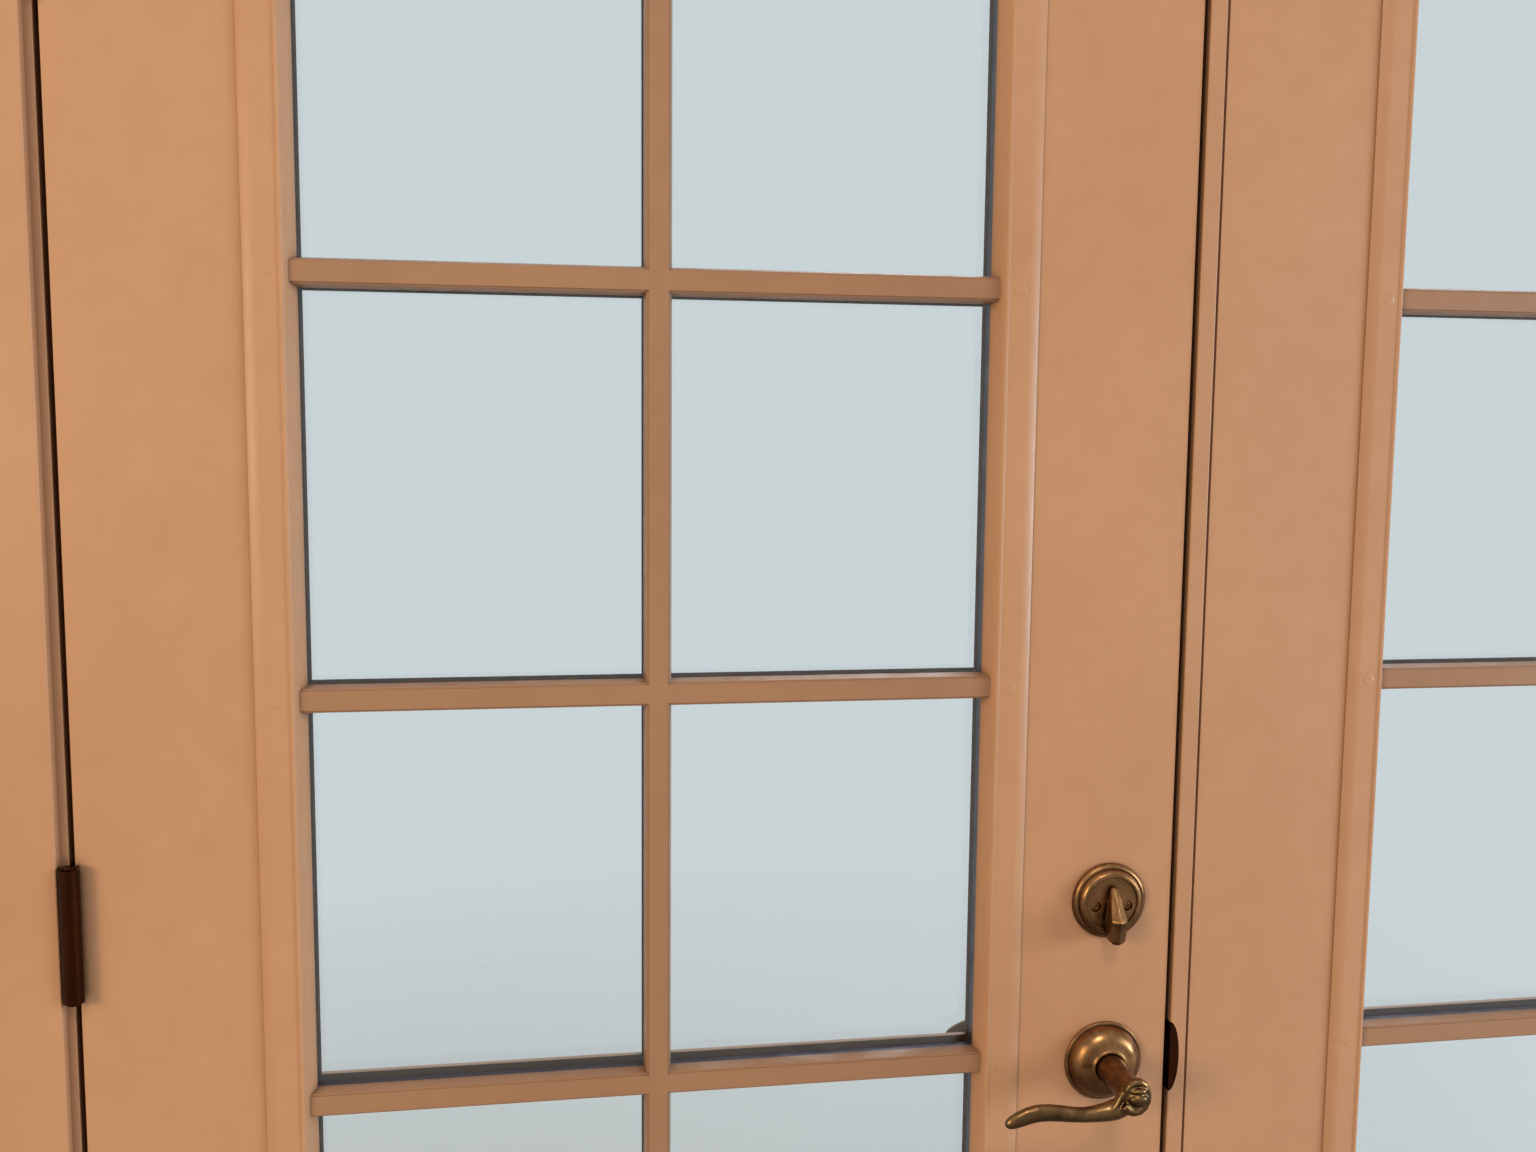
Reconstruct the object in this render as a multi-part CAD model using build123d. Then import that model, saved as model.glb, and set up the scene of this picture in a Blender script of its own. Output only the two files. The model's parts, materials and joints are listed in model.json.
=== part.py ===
"""A pair of inswing french doors in their frame, with sill, trim, hinges, lock and flush bolts.

Sizes are millimetres. X runs to the right as seen from the room, +Y points outdoors and +Z points up. The origin is
on the sill's underside, in the middle of the doorway and of the jamb's depth. The left leaf is the active one.
"""
import os

from build123d import *

# Leaves
leaf_width = 864.0
leaf_height = 2032.0
leaf_thickness = 44.5
skin_thickness = 1.6
stile_width = 35.0
rail_height = 38.0
lock_block_width = 75.0
lock_block_height = 380.0

# Gaps around the leaves
hinge_gap = 4.0
head_gap = 3.0
floor_gap = 8.0
meeting_gap = 4.0
seal_clearance = 0.3

# Glazing frames and their bars
glazing_side = 130.5
glazing_bottom = 257.0
glazing_top = 134.0
glazing_member = 36.5
rows = 5
columns = 2
skin_lap = 14.0
insert_clearance = 0.5
lip_height = 1.2
flat_height = 4.8
bead_run = 12.5
ridge_height = 5.8
ridge_run = 3.5
ridge_ease = 0.9
ridge_fall = 1.0
bevel_run = 7.0
cove_run = 2.0
cove_height = 1.6
heel_run = 0.6
heel_height = 2.0
glass_depth = 11.0
bar_width = 22.0
bar_face_width = 15.0
bar_face_height = 0.3
bar_step = 1.5
bar_shoulder_width = 18.0
bar_bite = 0.8

# Insulated glass
pane_thickness = 3.0
glass_inset = 20.0
spacer_inset = 2.0
spacer_width = 12.0
spacer_bar_width = 12.0

# Glazing screws and plugs
plug_radius = 5.0
plug_pocket_depth = 4.5
plug_thickness = 1.8
plug_crown = 0.3
plug_ease = 1.0
glazing_screw_radius = 1.9
glazing_screw_head_radius = 3.6
glazing_screw_head_height = 1.6
screw_line = 17.0
screw_bite = 13.0

# Door frame
jamb_depth = 116.0
jamb_thickness = 19.0
stop_rise = 12.7
rabbet_width = 54.0
weatherstrip_width = 11.5
casing_width = 89.0
casing_thickness = 9.5
casing_reveal = 6.0
casing_ease = 1.5
brickmould_width = 51.0
brickmould_thickness = 32.0
brickmould_reveal = 3.5
brickmould_step = 8.0

# Sill
sill_cap_top = 38.0
sill_cap_thickness = 10.0
sill_cap_ease = 3.0
deck_thickness = 2.0
deck_drop = 16.0
deck_overhang = 25.0
deck_nose_drop = 8.0
sweep_inset = 2.0
sweep_base = 3.0
sweep_fin_width = 4.0
sweep_fins = 3
sweep_end_gap = 1.0

# Hinges
hinge_count = 3
hinge_length = 101.6
hinge_from_bottom = 336.0
hinge_from_top = 236.0
knuckles = 5
barrel_radius = 7.3
barrel_stand_off = 0.5
plate_thickness = 2.3
plate_reach = 32.0
knuckle_clearance = 0.2
barrel_clearance = 0.8
pin_radius = 3.6
pin_clearance = 0.05
pin_head_radius = 5.2
pin_head_height = 1.6
hinge_screw_radius = 2.0
hinge_screw_head_radius = 4.2
hinge_screw_rim = 0.3
hinge_screw_length = 18.0
hinge_screw_edge = 9.0
hinge_screw_stagger = 13.0
hinge_screw_end = 11.0

# Lock bores, cases and faceplates
backset = 55.0
lever_height = 914.0
deadbolt_rise = 139.7
cross_bore_radius = 27.0
edge_bore_radius = 12.5
case_radius = 12.2
case_wall = 1.2
case_tail = 12.0
faceplate_width = 25.4
faceplate_height = 57.0
faceplate_thickness = 2.5
bolt_clearance = 0.3

# Lever set
rose_radius = 34.0
rose_rim = 2.0
rose_lip = 2.5
rose_height = 17.0
rose_throat_radius = 14.2
neck_radius = 12.3
neck_clearance = 0.3
lever_projection = 60.0
hub_width = 25.0
hub_depth = 22.0
hub_height = 29.0
hub_button_width = 15.0
hub_button_depth = 8.0
hub_button_height = 16.0
lever_reach = 106.0
lever_thickness = 5.5
lever_depth = 5.8
spindle_width = 8.0
spindle_bite = 20.0
spindle_hole_radius = 6.2
latch_radius = 9.5
latch_half_thickness = 6.3
latch_throw = 12.0
latch_body = 30.0

# Deadbolt
deadbolt_rose_radius = 32.0
deadbolt_rose_step_radius = 28.5
deadbolt_rose_step_height = 4.4
deadbolt_rose_shoulder = 3.0
deadbolt_rose_shoulder_height = 8.7
deadbolt_rose_ease = 1.0
deadbolt_rose_disc_radius = 21.8
deadbolt_rose_disc_ease = 0.6
deadbolt_rose_height = 9.5
deadbolt_rose_recess = 1.6
rose_screw_offset = 13.6
rose_screw_drop = 3.0
rose_screw_radius = 2.2
rose_screw_head_radius = 3.6
rose_screw_head_height = 2.0
rose_screw_sink = 0.3
rose_screw_bite = 8.0
turn_shaft_radius = 5.0
turn_shaft_bite = 1.0
turn_projection = 30.0
turn_top = 15.0
turn_bottom = 28.5
turn_tip_radius = 2.6
turn_end_radius = 6.8
turn_ridge_drop = 10.0
turn_top_rise = 3.5
turn_end_rise = 11.0
turn_gap = 0.5
tailpiece_width = 6.0
tailpiece_thickness = 2.0
tailpiece_end = 8.0
tailpiece_hole_radius = 4.0
deadbolt_radius = 10.7
deadbolt_half_thickness = 6.5
deadbolt_body = 44.0
deadbolt_throw = 25.4
collar_radius = 30.0
collar_rim = 4.0
collar_height = 18.0
collar_ease = 2.0
collar_face_radius = 22.0
key_plug_radius = 7.0
key_plug_proud = 0.6
key_plug_depth = 10.0
key_slot_width = 2.2
key_slot_height = 9.0
key_slot_depth = 8.0
running_clearance = 0.1

# Astragal on the passive leaf
astragal_width = 17.0
astragal_proud = 2.5
astragal_ease = 1.2
astragal_groove_width = 2.7
astragal_groove_depth = 5.0
astragal_end_gap = 2.0
flange_overlap = 11.5
flange_lap = 20.0
flange_thickness = 8.0
astragal_seal_width = 9.0
strike_thickness = 1.6
strike_half_height = 30.5
strike_lip_width = 8.5
strike_lip_thickness = 1.2
latch_pocket_clearance = 2.0
latch_pocket_depth = 10.5
deadbolt_hole_radius = 11.5
deadbolt_end_gap = 3.0

# Flush bolts
flush_bolt_radius = 4.0
flush_bolt_length = 230.0
flush_bolt_clearance = 0.3
flush_bolt_throw = 16.0
flush_bolt_recess = 1.0
flush_bolt_socket_radius = 5.0
flush_bolt_socket_gap = 2.0
tab_width = 6.0
tab_height = 14.0
tab_from_tip = 190.0
tab_recess = 0.5
keeper_thickness = 1.5
keeper_length = 34.0

# Places worked out from the sizes
half_meeting = (meeting_gap + astragal_width) / 2
half_opening = half_meeting + leaf_width + hinge_gap
room_face = -jamb_depth / 2
outdoor_edge = jamb_depth / 2
outer_face = room_face + leaf_thickness
leaf_middle = (room_face + outer_face) / 2
stop_face = room_face + rabbet_width
frame_half_width = half_opening + jamb_thickness
stop_edge = half_opening - stop_rise

leaf_bottom = sill_cap_top + floor_gap
leaf_top = leaf_bottom + leaf_height
head_face = leaf_top + head_gap
head_stop_face = head_face - stop_rise
frame_top = head_face + jamb_thickness

glazing_width = leaf_width - 2 * glazing_side
glazing_height = leaf_height - glazing_bottom - glazing_top
glazing_low = leaf_bottom + glazing_bottom
sight_low = glazing_low + glazing_member
row_pitch = (glazing_height - 2 * glazing_member + bar_width) / rows
column_pitch = (glazing_width - 2 * glazing_member + bar_width) / columns
glass_width = glazing_width - 2 * glass_inset
glass_height = glazing_height - 2 * glass_inset
glass_face = room_face + glass_depth
glass_back = outer_face - glass_depth
bar_levels = [sight_low - bar_width / 2 + row_pitch * row for row in range(1, rows)]

hinge_low = leaf_bottom + hinge_from_bottom
hinge_pitch = (leaf_height - hinge_from_bottom - hinge_from_top) / (hinge_count - 1)
hinge_levels = [hinge_low + hinge_pitch * index for index in range(hinge_count)]
pin_y = room_face - barrel_radius - barrel_stand_off
pin_x = half_opening - hinge_gap / 2

active_free_edge = -half_meeting
lock_x = active_free_edge - backset
lever_z = leaf_bottom + lever_height
deadbolt_z = lever_z + deadbolt_rise
lock_levels = (lever_z, deadbolt_z)

astragal_left = active_free_edge + meeting_gap
astragal_right = astragal_left + astragal_width
astragal_face = room_face - astragal_proud
astragal_low = sill_cap_top + astragal_end_gap
astragal_high = head_face - astragal_end_gap
bolt_x = (astragal_left + astragal_right) / 2

sill_cap_under = sill_cap_top - sill_cap_thickness
deck_top_inner = sill_cap_under + deck_thickness
deck_top_outer = deck_top_inner - deck_drop
deck_end = outdoor_edge + deck_overhang


# Shapes that several pieces share

def block(x, y, z):
    """A box between pairs of limits, given in either order."""
    low = [min(pair) for pair in (x, y, z)]
    size = [abs(pair[1] - pair[0]) for pair in (x, y, z)]
    return Pos(*low) * Box(*size, align=(Align.MIN, Align.MIN, Align.MIN))


def outline(points):
    """A flat face with straight sides."""
    return make_face(Polyline(*points, close=True))


def prism_along_x(points, x0, x1):
    """A (y, z) outline drawn out along X."""
    return Pos(x0, 0, 0) * extrude(Plane.YZ * outline(points), amount=x1 - x0)


def prism_along_y(face, y0, y1):
    """An (x, z) face drawn out along Y."""
    return Pos(0, y1, 0) * extrude(Plane.XZ * face, amount=y1 - y0)


def turned(profile, origin, direction):
    """A turned piece: (radius, height) points about an axis that starts at origin."""
    piece = revolve(Plane.XZ * outline(profile), Axis.Z)
    return Plane(origin, z_dir=direction) * piece


def rod(radius, origin, direction, length):
    """A round rod from origin along direction."""
    piece = Cylinder(radius, length, align=(Align.CENTER, Align.CENTER, Align.MIN))
    return Plane(origin, z_dir=direction) * piece


def outdoors(piece):
    """The same piece turned to the leaf's outdoor side."""
    return mirror(piece, about=Plane((0, leaf_middle, 0), z_dir=(0, 1, 0)))


def save(node, *pieces):
    """Write one node's solids to its file."""
    solids = [solid for piece in pieces for solid in piece.solids()]
    export_step(Compound(solids), f"parts/{node}.step")


# Moulded glazing frames

def moulding_section():
    """Section of the glazing frame: x runs inwards from its outer edge, -y stands proud of the leaf."""
    crown = glazing_member - bevel_run - ridge_run
    brink = crown + ridge_run
    bead_radius = (bead_run**2 + (flat_height - lip_height) ** 2) / (2 * (flat_height - lip_height))
    insert = skin_lap + insert_clearance
    bead = RadiusArc((0, -lip_height), (bead_run, -flat_height), -bead_radius)
    rest = Polyline(
        (bead_run, -flat_height),
        (crown, -flat_height),
        (crown + ridge_ease, -ridge_height),
        (brink - ridge_ease, -ridge_height),
        (brink, -ridge_height + ridge_fall),
        (brink + cove_run, -cove_height),
        (glazing_member - heel_run, glass_depth - heel_height),
        (glazing_member, glass_depth),
        (insert, glass_depth),
        (insert, 0),
        (0, 0),
        (0, -lip_height),
    )
    return make_face([*bead.edges(), *rest.edges()])


def mitred_frame(section, width, height, member):
    """Four mitred lengths of a moulding, with the outline's lower left corner at the origin."""
    deep = 4 * glass_depth

    def length_of(long_side):
        mitre = outline([(0, 0), (member, member), (member, long_side - member), (0, long_side)])
        return extrude(section, amount=long_side) & prism_along_y(mitre, -deep, deep)

    upright = length_of(height)
    flat = mirror(length_of(width), about=Plane((0, 0, 0), z_dir=(1, 0, -1)))
    far_upright = mirror(upright, about=Plane((width / 2, 0, 0), z_dir=(1, 0, 0)))
    upper_flat = mirror(flat, about=Plane((0, 0, height / 2), z_dir=(0, 0, 1)))
    return upright + far_upright + flat + upper_flat


def bar_section():
    """Section of a bar: x across its width, -y proud of the leaf."""
    half = bar_width / 2
    shoulder = bar_shoulder_width / 2
    face = bar_face_width / 2
    ledge = -bar_face_height + bar_step
    right = [(half, glass_depth), (shoulder, ledge), (face, ledge), (face, -bar_face_height)]
    left = [(-x, y) for x, y in reversed(right)]
    return outline(right + left)


def glazing_frame():
    """The room-side glazing frame and bars, with its lower left corner at the origin."""
    frame = mitred_frame(moulding_section(), glazing_width, glazing_height, glazing_member)
    reach = glazing_member - bevel_run - bar_bite
    upright = extrude(bar_section(), amount=glazing_height - 2 * reach)
    for column in range(1, columns):
        x = glazing_member - bar_width / 2 + column_pitch * column
        frame += Pos(x, 0, reach) * upright
    flat = Rot(0, 90, 0) * extrude(bar_section(), amount=glazing_width - 2 * reach)
    for level in bar_levels:
        frame += Pos(reach, 0, level - glazing_low) * flat
    return frame


def glazing_screw_places():
    """(x, z) of the screws, from the glazing frame's lower left corner."""
    places = []
    for level in bar_levels:
        places.append((screw_line, level - glazing_low))
        places.append((glazing_width - screw_line, level - glazing_low))
    for column in range(columns):
        x = glazing_member + column_pitch * (column + 0.5) - bar_width / 2
        places.append((x, screw_line))
        places.append((x, glazing_height - screw_line))
    return places


def glazing_screw(x, z):
    """A screw from the plug pocket, through the room-side frame and into the exterior one."""
    seat = flat_height - plug_pocket_depth
    shank = seat + leaf_thickness - glass_depth + screw_bite
    head = glazing_screw_head_radius
    profile = [
        (0, 0),
        (glazing_screw_radius, 0),
        (glazing_screw_radius, shank),
        (head, shank),
        (head, shank + glazing_screw_head_height),
        (0, shank + glazing_screw_head_height),
    ]
    return turned(profile, (x, room_face - seat + shank, z), (0, -1, 0))


def plug(x, z):
    """The cover over a glazing screw."""
    base = flat_height - plug_thickness
    radius = plug_radius
    profile = [
        (0, base),
        (radius, base),
        (radius, flat_height),
        (radius - plug_ease, flat_height + plug_crown),
        (0, flat_height + plug_crown),
    ]
    return turned(profile, (x, room_face, z), (0, -1, 0))


# Hinges

def knuckle_spans(level, own):
    """Height limits of a plate's own knuckles, or of the other plate's."""
    step = hinge_length / knuckles
    bottom = level - hinge_length / 2
    first = 0 if own else 1
    spans = []
    for index in range(first, knuckles, 2):
        spans.append((bottom + step * index, bottom + step * (index + 1)))
    return spans


def hinge_plate(side, level, on_frame):
    """A hinge plate with its knuckles: the frame's has the odd knuckles, the leaf's the even ones."""
    direction = side if on_frame else -side
    face_x = side * pin_x + direction * hinge_gap / 2
    z_span = (level - hinge_length / 2, level + hinge_length / 2)
    plate = block((face_x, face_x + direction * plate_thickness), (pin_y, room_face + plate_reach), z_span)
    for low, high in knuckle_spans(level, not on_frame):
        width = barrel_radius + barrel_clearance
        cut_x = (side * pin_x - width, side * pin_x + width)
        plate -= block(cut_x, (pin_y - width, pin_y + width), (low - knuckle_clearance, high + knuckle_clearance))
    gap = 0 if on_frame else knuckle_clearance
    for low, high in knuckle_spans(level, on_frame):
        plate += rod(barrel_radius, (side * pin_x, pin_y, low + gap), (0, 0, 1), high - low - 2 * gap)
    plate -= rod(pin_radius + pin_clearance, (side * pin_x, pin_y, z_span[0]), (0, 0, 1), hinge_length)
    for screw in hinge_screws(side, level, on_frame):
        plate -= screw
    return plate


def hinge_recess(side, level, on_frame):
    """What the plate takes out of the timber."""
    direction = side if on_frame else -side
    face_x = side * pin_x + direction * hinge_gap / 2
    z_span = (level - hinge_length / 2, level + hinge_length / 2)
    return block((face_x, face_x + direction * plate_thickness), (pin_y, room_face + plate_reach), z_span)


def hinge_screws(side, level, on_frame):
    """Four countersunk screws in two staggered rows."""
    direction = side if on_frame else -side
    face_x = side * pin_x + direction * hinge_gap / 2
    profile = [
        (0, 0),
        (hinge_screw_head_radius, 0),
        (hinge_screw_head_radius, hinge_screw_rim),
        (hinge_screw_radius, plate_thickness),
        (hinge_screw_radius, hinge_screw_length),
        (0, hinge_screw_length),
    ]
    screws = []
    end = hinge_length / 2 - hinge_screw_end
    for index in range(4):
        z = level - end + 2 * end * index / 3
        y = room_face + plate_reach - hinge_screw_edge - hinge_screw_stagger * (index % 2)
        screws.append(turned(profile, (face_x, y, z), (direction, 0, 0)))
    return screws


def hinge_pin(side, level):
    """A pin with a flat head at each end of the barrel."""
    half = hinge_length / 2
    head = half + pin_head_height
    profile = [
        (0, -head),
        (pin_head_radius, -head),
        (pin_head_radius, -half),
        (pin_radius, -half),
        (pin_radius, half),
        (pin_head_radius, half),
        (pin_head_radius, head),
        (0, head),
    ]
    return turned(profile, (side * pin_x, pin_y, level), (0, 0, 1))


# Leaves

def leaf_x(side, from_free_edge):
    """An X inside a leaf, measured from its meeting edge."""
    return side * (half_meeting + from_free_edge)


def leaf_block(side, across, y, z):
    """A box inside a leaf: across is measured from the meeting edge, z from the leaf's bottom."""
    x = [leaf_x(side, value) for value in across]
    return block(x, y, [leaf_bottom + value for value in z])


def bolt_tunnel(z, start, length):
    """The round way of a bolt along X."""
    return rod(edge_bore_radius, (start, leaf_middle, z), (-1, 0, 0), length)


def lock_cuts():
    """The cross bores and edge bores for the lock and the deadbolt, with the faceplates' recesses."""
    cuts = []
    for z in lock_levels:
        cuts.append(rod(cross_bore_radius, (lock_x, room_face, z), (0, 1, 0), leaf_thickness))
        cuts.append(bolt_tunnel(z, active_free_edge, backset))
        cuts.append(faceplate_blank(z))
    return cuts


def faceplate_blank(z):
    """The faceplate's outline, which its recess shares."""
    return block(
        (active_free_edge - faceplate_thickness, active_free_edge),
        (leaf_middle - faceplate_width / 2, leaf_middle + faceplate_width / 2),
        (z - faceplate_height / 2, z + faceplate_height / 2),
    )


def glazing_hole(side):
    """The cut-out for the glazing through the leaf."""
    middle = leaf_width / 2
    half = glazing_width / 2 - skin_lap
    z = (glazing_bottom + skin_lap, glazing_bottom + glazing_height - skin_lap)
    return leaf_block(side, (middle - half, middle + half), (room_face, outer_face), z)


def make_leaf(side, name):
    """The slab, glazing, sweep and hinge plates that both leaves share."""
    active = side < 0
    inner = (room_face + skin_thickness, outer_face - skin_thickness)
    cuts = lock_cuts() if active else []
    if not active:
        depth = deadbolt_throw + deadbolt_end_gap - meeting_gap - astragal_width
        cuts.append(rod(deadbolt_hole_radius, (half_meeting, leaf_middle, deadbolt_z), (1, 0, 0), depth))
    recesses = [hinge_recess(side, level, False) for level in hinge_levels]
    screws = [screw for level in hinge_levels for screw in hinge_screws(side, level, False)]

    lock_stile = leaf_block(side, (0, stile_width), inner, (0, leaf_height))
    hinge_stile = leaf_block(side, (leaf_width - stile_width, leaf_width), inner, (0, leaf_height))
    for cut in cuts:
        lock_stile -= cut
    for cut in recesses + screws:
        hinge_stile -= cut
    timber = [lock_stile, hinge_stile]
    across = (stile_width, leaf_width - stile_width)
    timber.append(leaf_block(side, across, inner, (0, rail_height)))
    timber.append(leaf_block(side, across, inner, (leaf_height - rail_height, leaf_height)))

    core = leaf_block(side, across, inner, (rail_height, leaf_height - rail_height)) - glazing_hole(side)
    if active:
        centre = lever_height + deadbolt_rise / 2
        limits = (centre - lock_block_height / 2, centre + lock_block_height / 2)
        lock_block = leaf_block(side, (stile_width, stile_width + lock_block_width), inner, limits)
        core -= lock_block
        for cut in cuts:
            lock_block -= cut
        timber.append(lock_block)
    save(f"{name}_timber", *timber)
    save(f"{name}_foam_core", core)

    for place, y in (("inner", (room_face, inner[0])), ("outer", (inner[1], outer_face))):
        skin = leaf_block(side, (0, leaf_width), y, (0, leaf_height)) - glazing_hole(side)
        for cut in cuts + recesses:
            skin -= cut
        save(f"{name}_{place}_skin", skin)

    make_glazing(side, name)
    make_sweep(side, name)
    save(f"{name}_hinge_plates", *[hinge_plate(side, level, False) for level in hinge_levels])
    save(f"{name}_hinge_screws", *screws)


def make_glazing(side, name):
    """Glazing frames, glass, spacer, screws and plugs of one leaf."""
    left = min(leaf_x(side, leaf_width / 2 - glazing_width / 2), leaf_x(side, leaf_width / 2 + glazing_width / 2))
    places = [(left + x, glazing_low + z) for x, z in glazing_screw_places()]
    screws = [glazing_screw(x, z) for x, z in places]
    room_frame = Pos(left, room_face, glazing_low) * glazing_frame()
    outer_frame = outdoors(room_frame)
    for x, z in places:
        room_frame -= rod(plug_radius, (x, room_face - flat_height - 1, z), (0, 1, 0), plug_pocket_depth + 1)
    for screw in screws:
        room_frame -= screw
        outer_frame -= screw
    save(f"{name}_inner_glazing_frame", room_frame)
    save(f"{name}_outer_glazing_frame", outer_frame)
    save(f"{name}_glazing_screws", *screws)
    save(f"{name}_screw_plugs", *[plug(x, z) for x, z in places])

    glass_x = (left + glass_inset, left + glass_inset + glass_width)
    glass_z = (glazing_low + glass_inset, glazing_low + glass_inset + glass_height)
    room_pane = block(glass_x, (glass_face, glass_face + pane_thickness), glass_z)
    outer_pane = block(glass_x, (glass_back - pane_thickness, glass_back), glass_z)
    save(f"{name}_glass", room_pane, outer_pane)

    between = (glass_face + pane_thickness, glass_back - pane_thickness)
    grow = spacer_inset
    outer_x = (glass_x[0] + grow, glass_x[1] - grow)
    outer_z = (glass_z[0] + grow, glass_z[1] - grow)
    inner_x = (outer_x[0] + spacer_width, outer_x[1] - spacer_width)
    inner_z = (outer_z[0] + spacer_width, outer_z[1] - spacer_width)
    spacer = block(outer_x, between, outer_z) - block(inner_x, between, inner_z)
    half = spacer_bar_width / 2
    for column in range(1, columns):
        x = left + glazing_member - bar_width / 2 + column_pitch * column
        spacer += block((x - half, x + half), between, inner_z)
    for level in bar_levels:
        spacer += block(inner_x, between, (level - half, level + half))
    save(f"{name}_glass_spacer", spacer)


def make_sweep(side, name):
    """A strip with fins under the leaf."""
    y_low = room_face + sweep_inset
    y_high = outer_face - sweep_inset
    bottom = sill_cap_top + seal_clearance
    x = (leaf_x(side, sweep_end_gap), leaf_x(side, leaf_width - sweep_end_gap))
    strip = block(x, (y_low, y_high), (leaf_bottom - sweep_base, leaf_bottom))
    pitch = (y_high - y_low - sweep_fin_width) / (sweep_fins - 1)
    for index in range(sweep_fins):
        y = y_low + pitch * index
        strip += block(x, (y, y + sweep_fin_width), (bottom, leaf_bottom - sweep_base))
    save(f"{name}_sweep", strip)


# Lock and deadbolt of the active leaf

def bolt_bar(radius, half_thickness, x0, x1, z):
    """A round bar with two flats, along X."""
    bar = rod(radius, (x0, leaf_middle, z), (1, 0, 0), x1 - x0)
    return bar & block((x0, x1), (leaf_middle - half_thickness, leaf_middle + half_thickness), (z - radius, z + radius))


def faceplate(z, bolt_radius, bolt_half_thickness):
    """A faceplate with the bolt's opening."""
    gap = bolt_clearance
    way = bolt_bar(bolt_radius + gap, bolt_half_thickness + gap, active_free_edge - backset, active_free_edge, z)
    return faceplate_blank(z) - way


def bolt_case(z, hole_radius):
    """The tubular case around a bolt, with a hole for what turns in it."""
    start = active_free_edge - faceplate_thickness
    length = backset - faceplate_thickness + case_tail
    case = rod(case_radius, (start, leaf_middle, z), (-1, 0, 0), length)
    case -= rod(case_radius - case_wall, (start, leaf_middle, z), (-1, 0, 0), length - case_wall)
    case -= rod(hole_radius, (lock_x, leaf_middle - case_radius, z), (0, 1, 0), 2 * case_radius)
    return case


def lever_rose():
    """A domed rose with a thin rim."""
    throat = neck_radius + neck_clearance
    dome = RadiusArc(
        (rose_radius - rose_lip, rose_rim), (rose_throat_radius, rose_height), -1.25 * (rose_radius - rose_lip)
    )
    rim = Polyline(
        (rose_throat_radius, rose_height),
        (throat, rose_height),
        (throat, 0),
        (rose_radius, 0),
        (rose_radius, rose_rim / 2),
        (rose_radius - rose_lip / 2, rose_rim),
        (rose_radius - rose_lip, rose_rim),
    )
    piece = revolve(Plane.XZ * make_face([*dome.edges(), *rim.edges()]), Axis.Z)
    return Plane((lock_x, room_face, lever_z), z_dir=(0, -1, 0)) * piece


def lever_handle(spindle):
    """Neck, scrolled hub and waved arm of a lever."""
    face = room_face - lever_projection
    start = room_face - rose_rim
    neck = rod(neck_radius, (lock_x, start, lever_z), (0, -1, 0), lever_projection - rose_rim)
    hub = Pos(lock_x, face, lever_z) * scale(Sphere(0.5), (hub_width, hub_depth, hub_height))
    button_size = (hub_button_width, hub_button_depth, hub_button_height)
    button = Pos(lock_x, face - hub_depth / 2, lever_z) * scale(Sphere(0.5), button_size)

    waves = [(0.0, -3.0), (0.1, -10.0), (0.22, -15.0), (0.38, -16.1), (0.54, -13.9), (0.7, -11.7), (0.86, -14.8)]
    waves.append((1.0, -19.5))
    line = Spline(*[(lock_x - lever_reach * along, face, lever_z + rise) for along, rise in waves])
    stations = [(0.0, 1.3), (0.12, 1.45), (0.25, 1.25), (0.4, 1.0), (0.55, 1.0), (0.7, 1.14), (0.84, 1.2)]
    stations += [(0.93, 1.06), (0.98, 0.75), (1.0, 0.35)]
    sections = []
    for along, swell in stations:
        plane = Plane(line @ along, x_dir=(0, 1, 0), z_dir=line % along)
        sections.append(plane * Ellipse(lever_depth * swell, lever_thickness * swell))
    arm = loft(sections)
    return neck + hub + button + arm - spindle


def make_lever_set():
    """Levers, spindle, roses, latch case and latch bolt."""
    half = spindle_width / 2
    spindle = block(
        (lock_x - half, lock_x + half),
        (room_face - rose_rim - spindle_bite, outer_face + rose_rim + spindle_bite),
        (lever_z - half, lever_z + half),
    )
    handle = lever_handle(spindle)
    save("inner_lever", handle)
    save("outer_lever", outdoors(handle))
    save("lever_spindle", spindle)
    rose = lever_rose()
    save("inner_rose", rose)
    save("outer_rose", outdoors(rose))
    save("latch_case", bolt_case(lever_z, spindle_hole_radius))

    tip = active_free_edge + latch_throw
    bolt = bolt_bar(latch_radius, latch_half_thickness, active_free_edge - latch_body, tip, lever_z)
    slope = 2 * latch_half_thickness
    wedge = extrude(
        outline([(tip - slope, leaf_middle + slope), (tip, leaf_middle + slope), (tip, leaf_middle - slope / 4)]),
        amount=2 * latch_radius,
    )
    save("latch_bolt", bolt - Pos(0, 0, lever_z - latch_radius) * wedge)


def deadbolt_rose():
    """A stepped rose with a sunk disc in its middle."""
    edge = deadbolt_rose_radius
    step = deadbolt_rose_step_radius
    disc = deadbolt_rose_disc_radius
    height = deadbolt_rose_height
    bore = turn_shaft_radius + running_clearance
    floor = height - deadbolt_rose_recess
    profile = [
        (bore, 0),
        (edge, 0),
        (edge, rose_rim),
        (edge - rose_lip / 2, rose_rim * 2),
        (step, deadbolt_rose_step_height),
        (step - deadbolt_rose_ease, (deadbolt_rose_step_height + deadbolt_rose_shoulder_height) / 2),
        (step - deadbolt_rose_shoulder, deadbolt_rose_shoulder_height),
        (disc + deadbolt_rose_disc_ease, height),
        (disc, height),
        (disc - deadbolt_rose_disc_ease, floor),
        (bore, floor),
    ]
    return turned(profile, (lock_x, room_face, deadbolt_z), (0, -1, 0))


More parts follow.
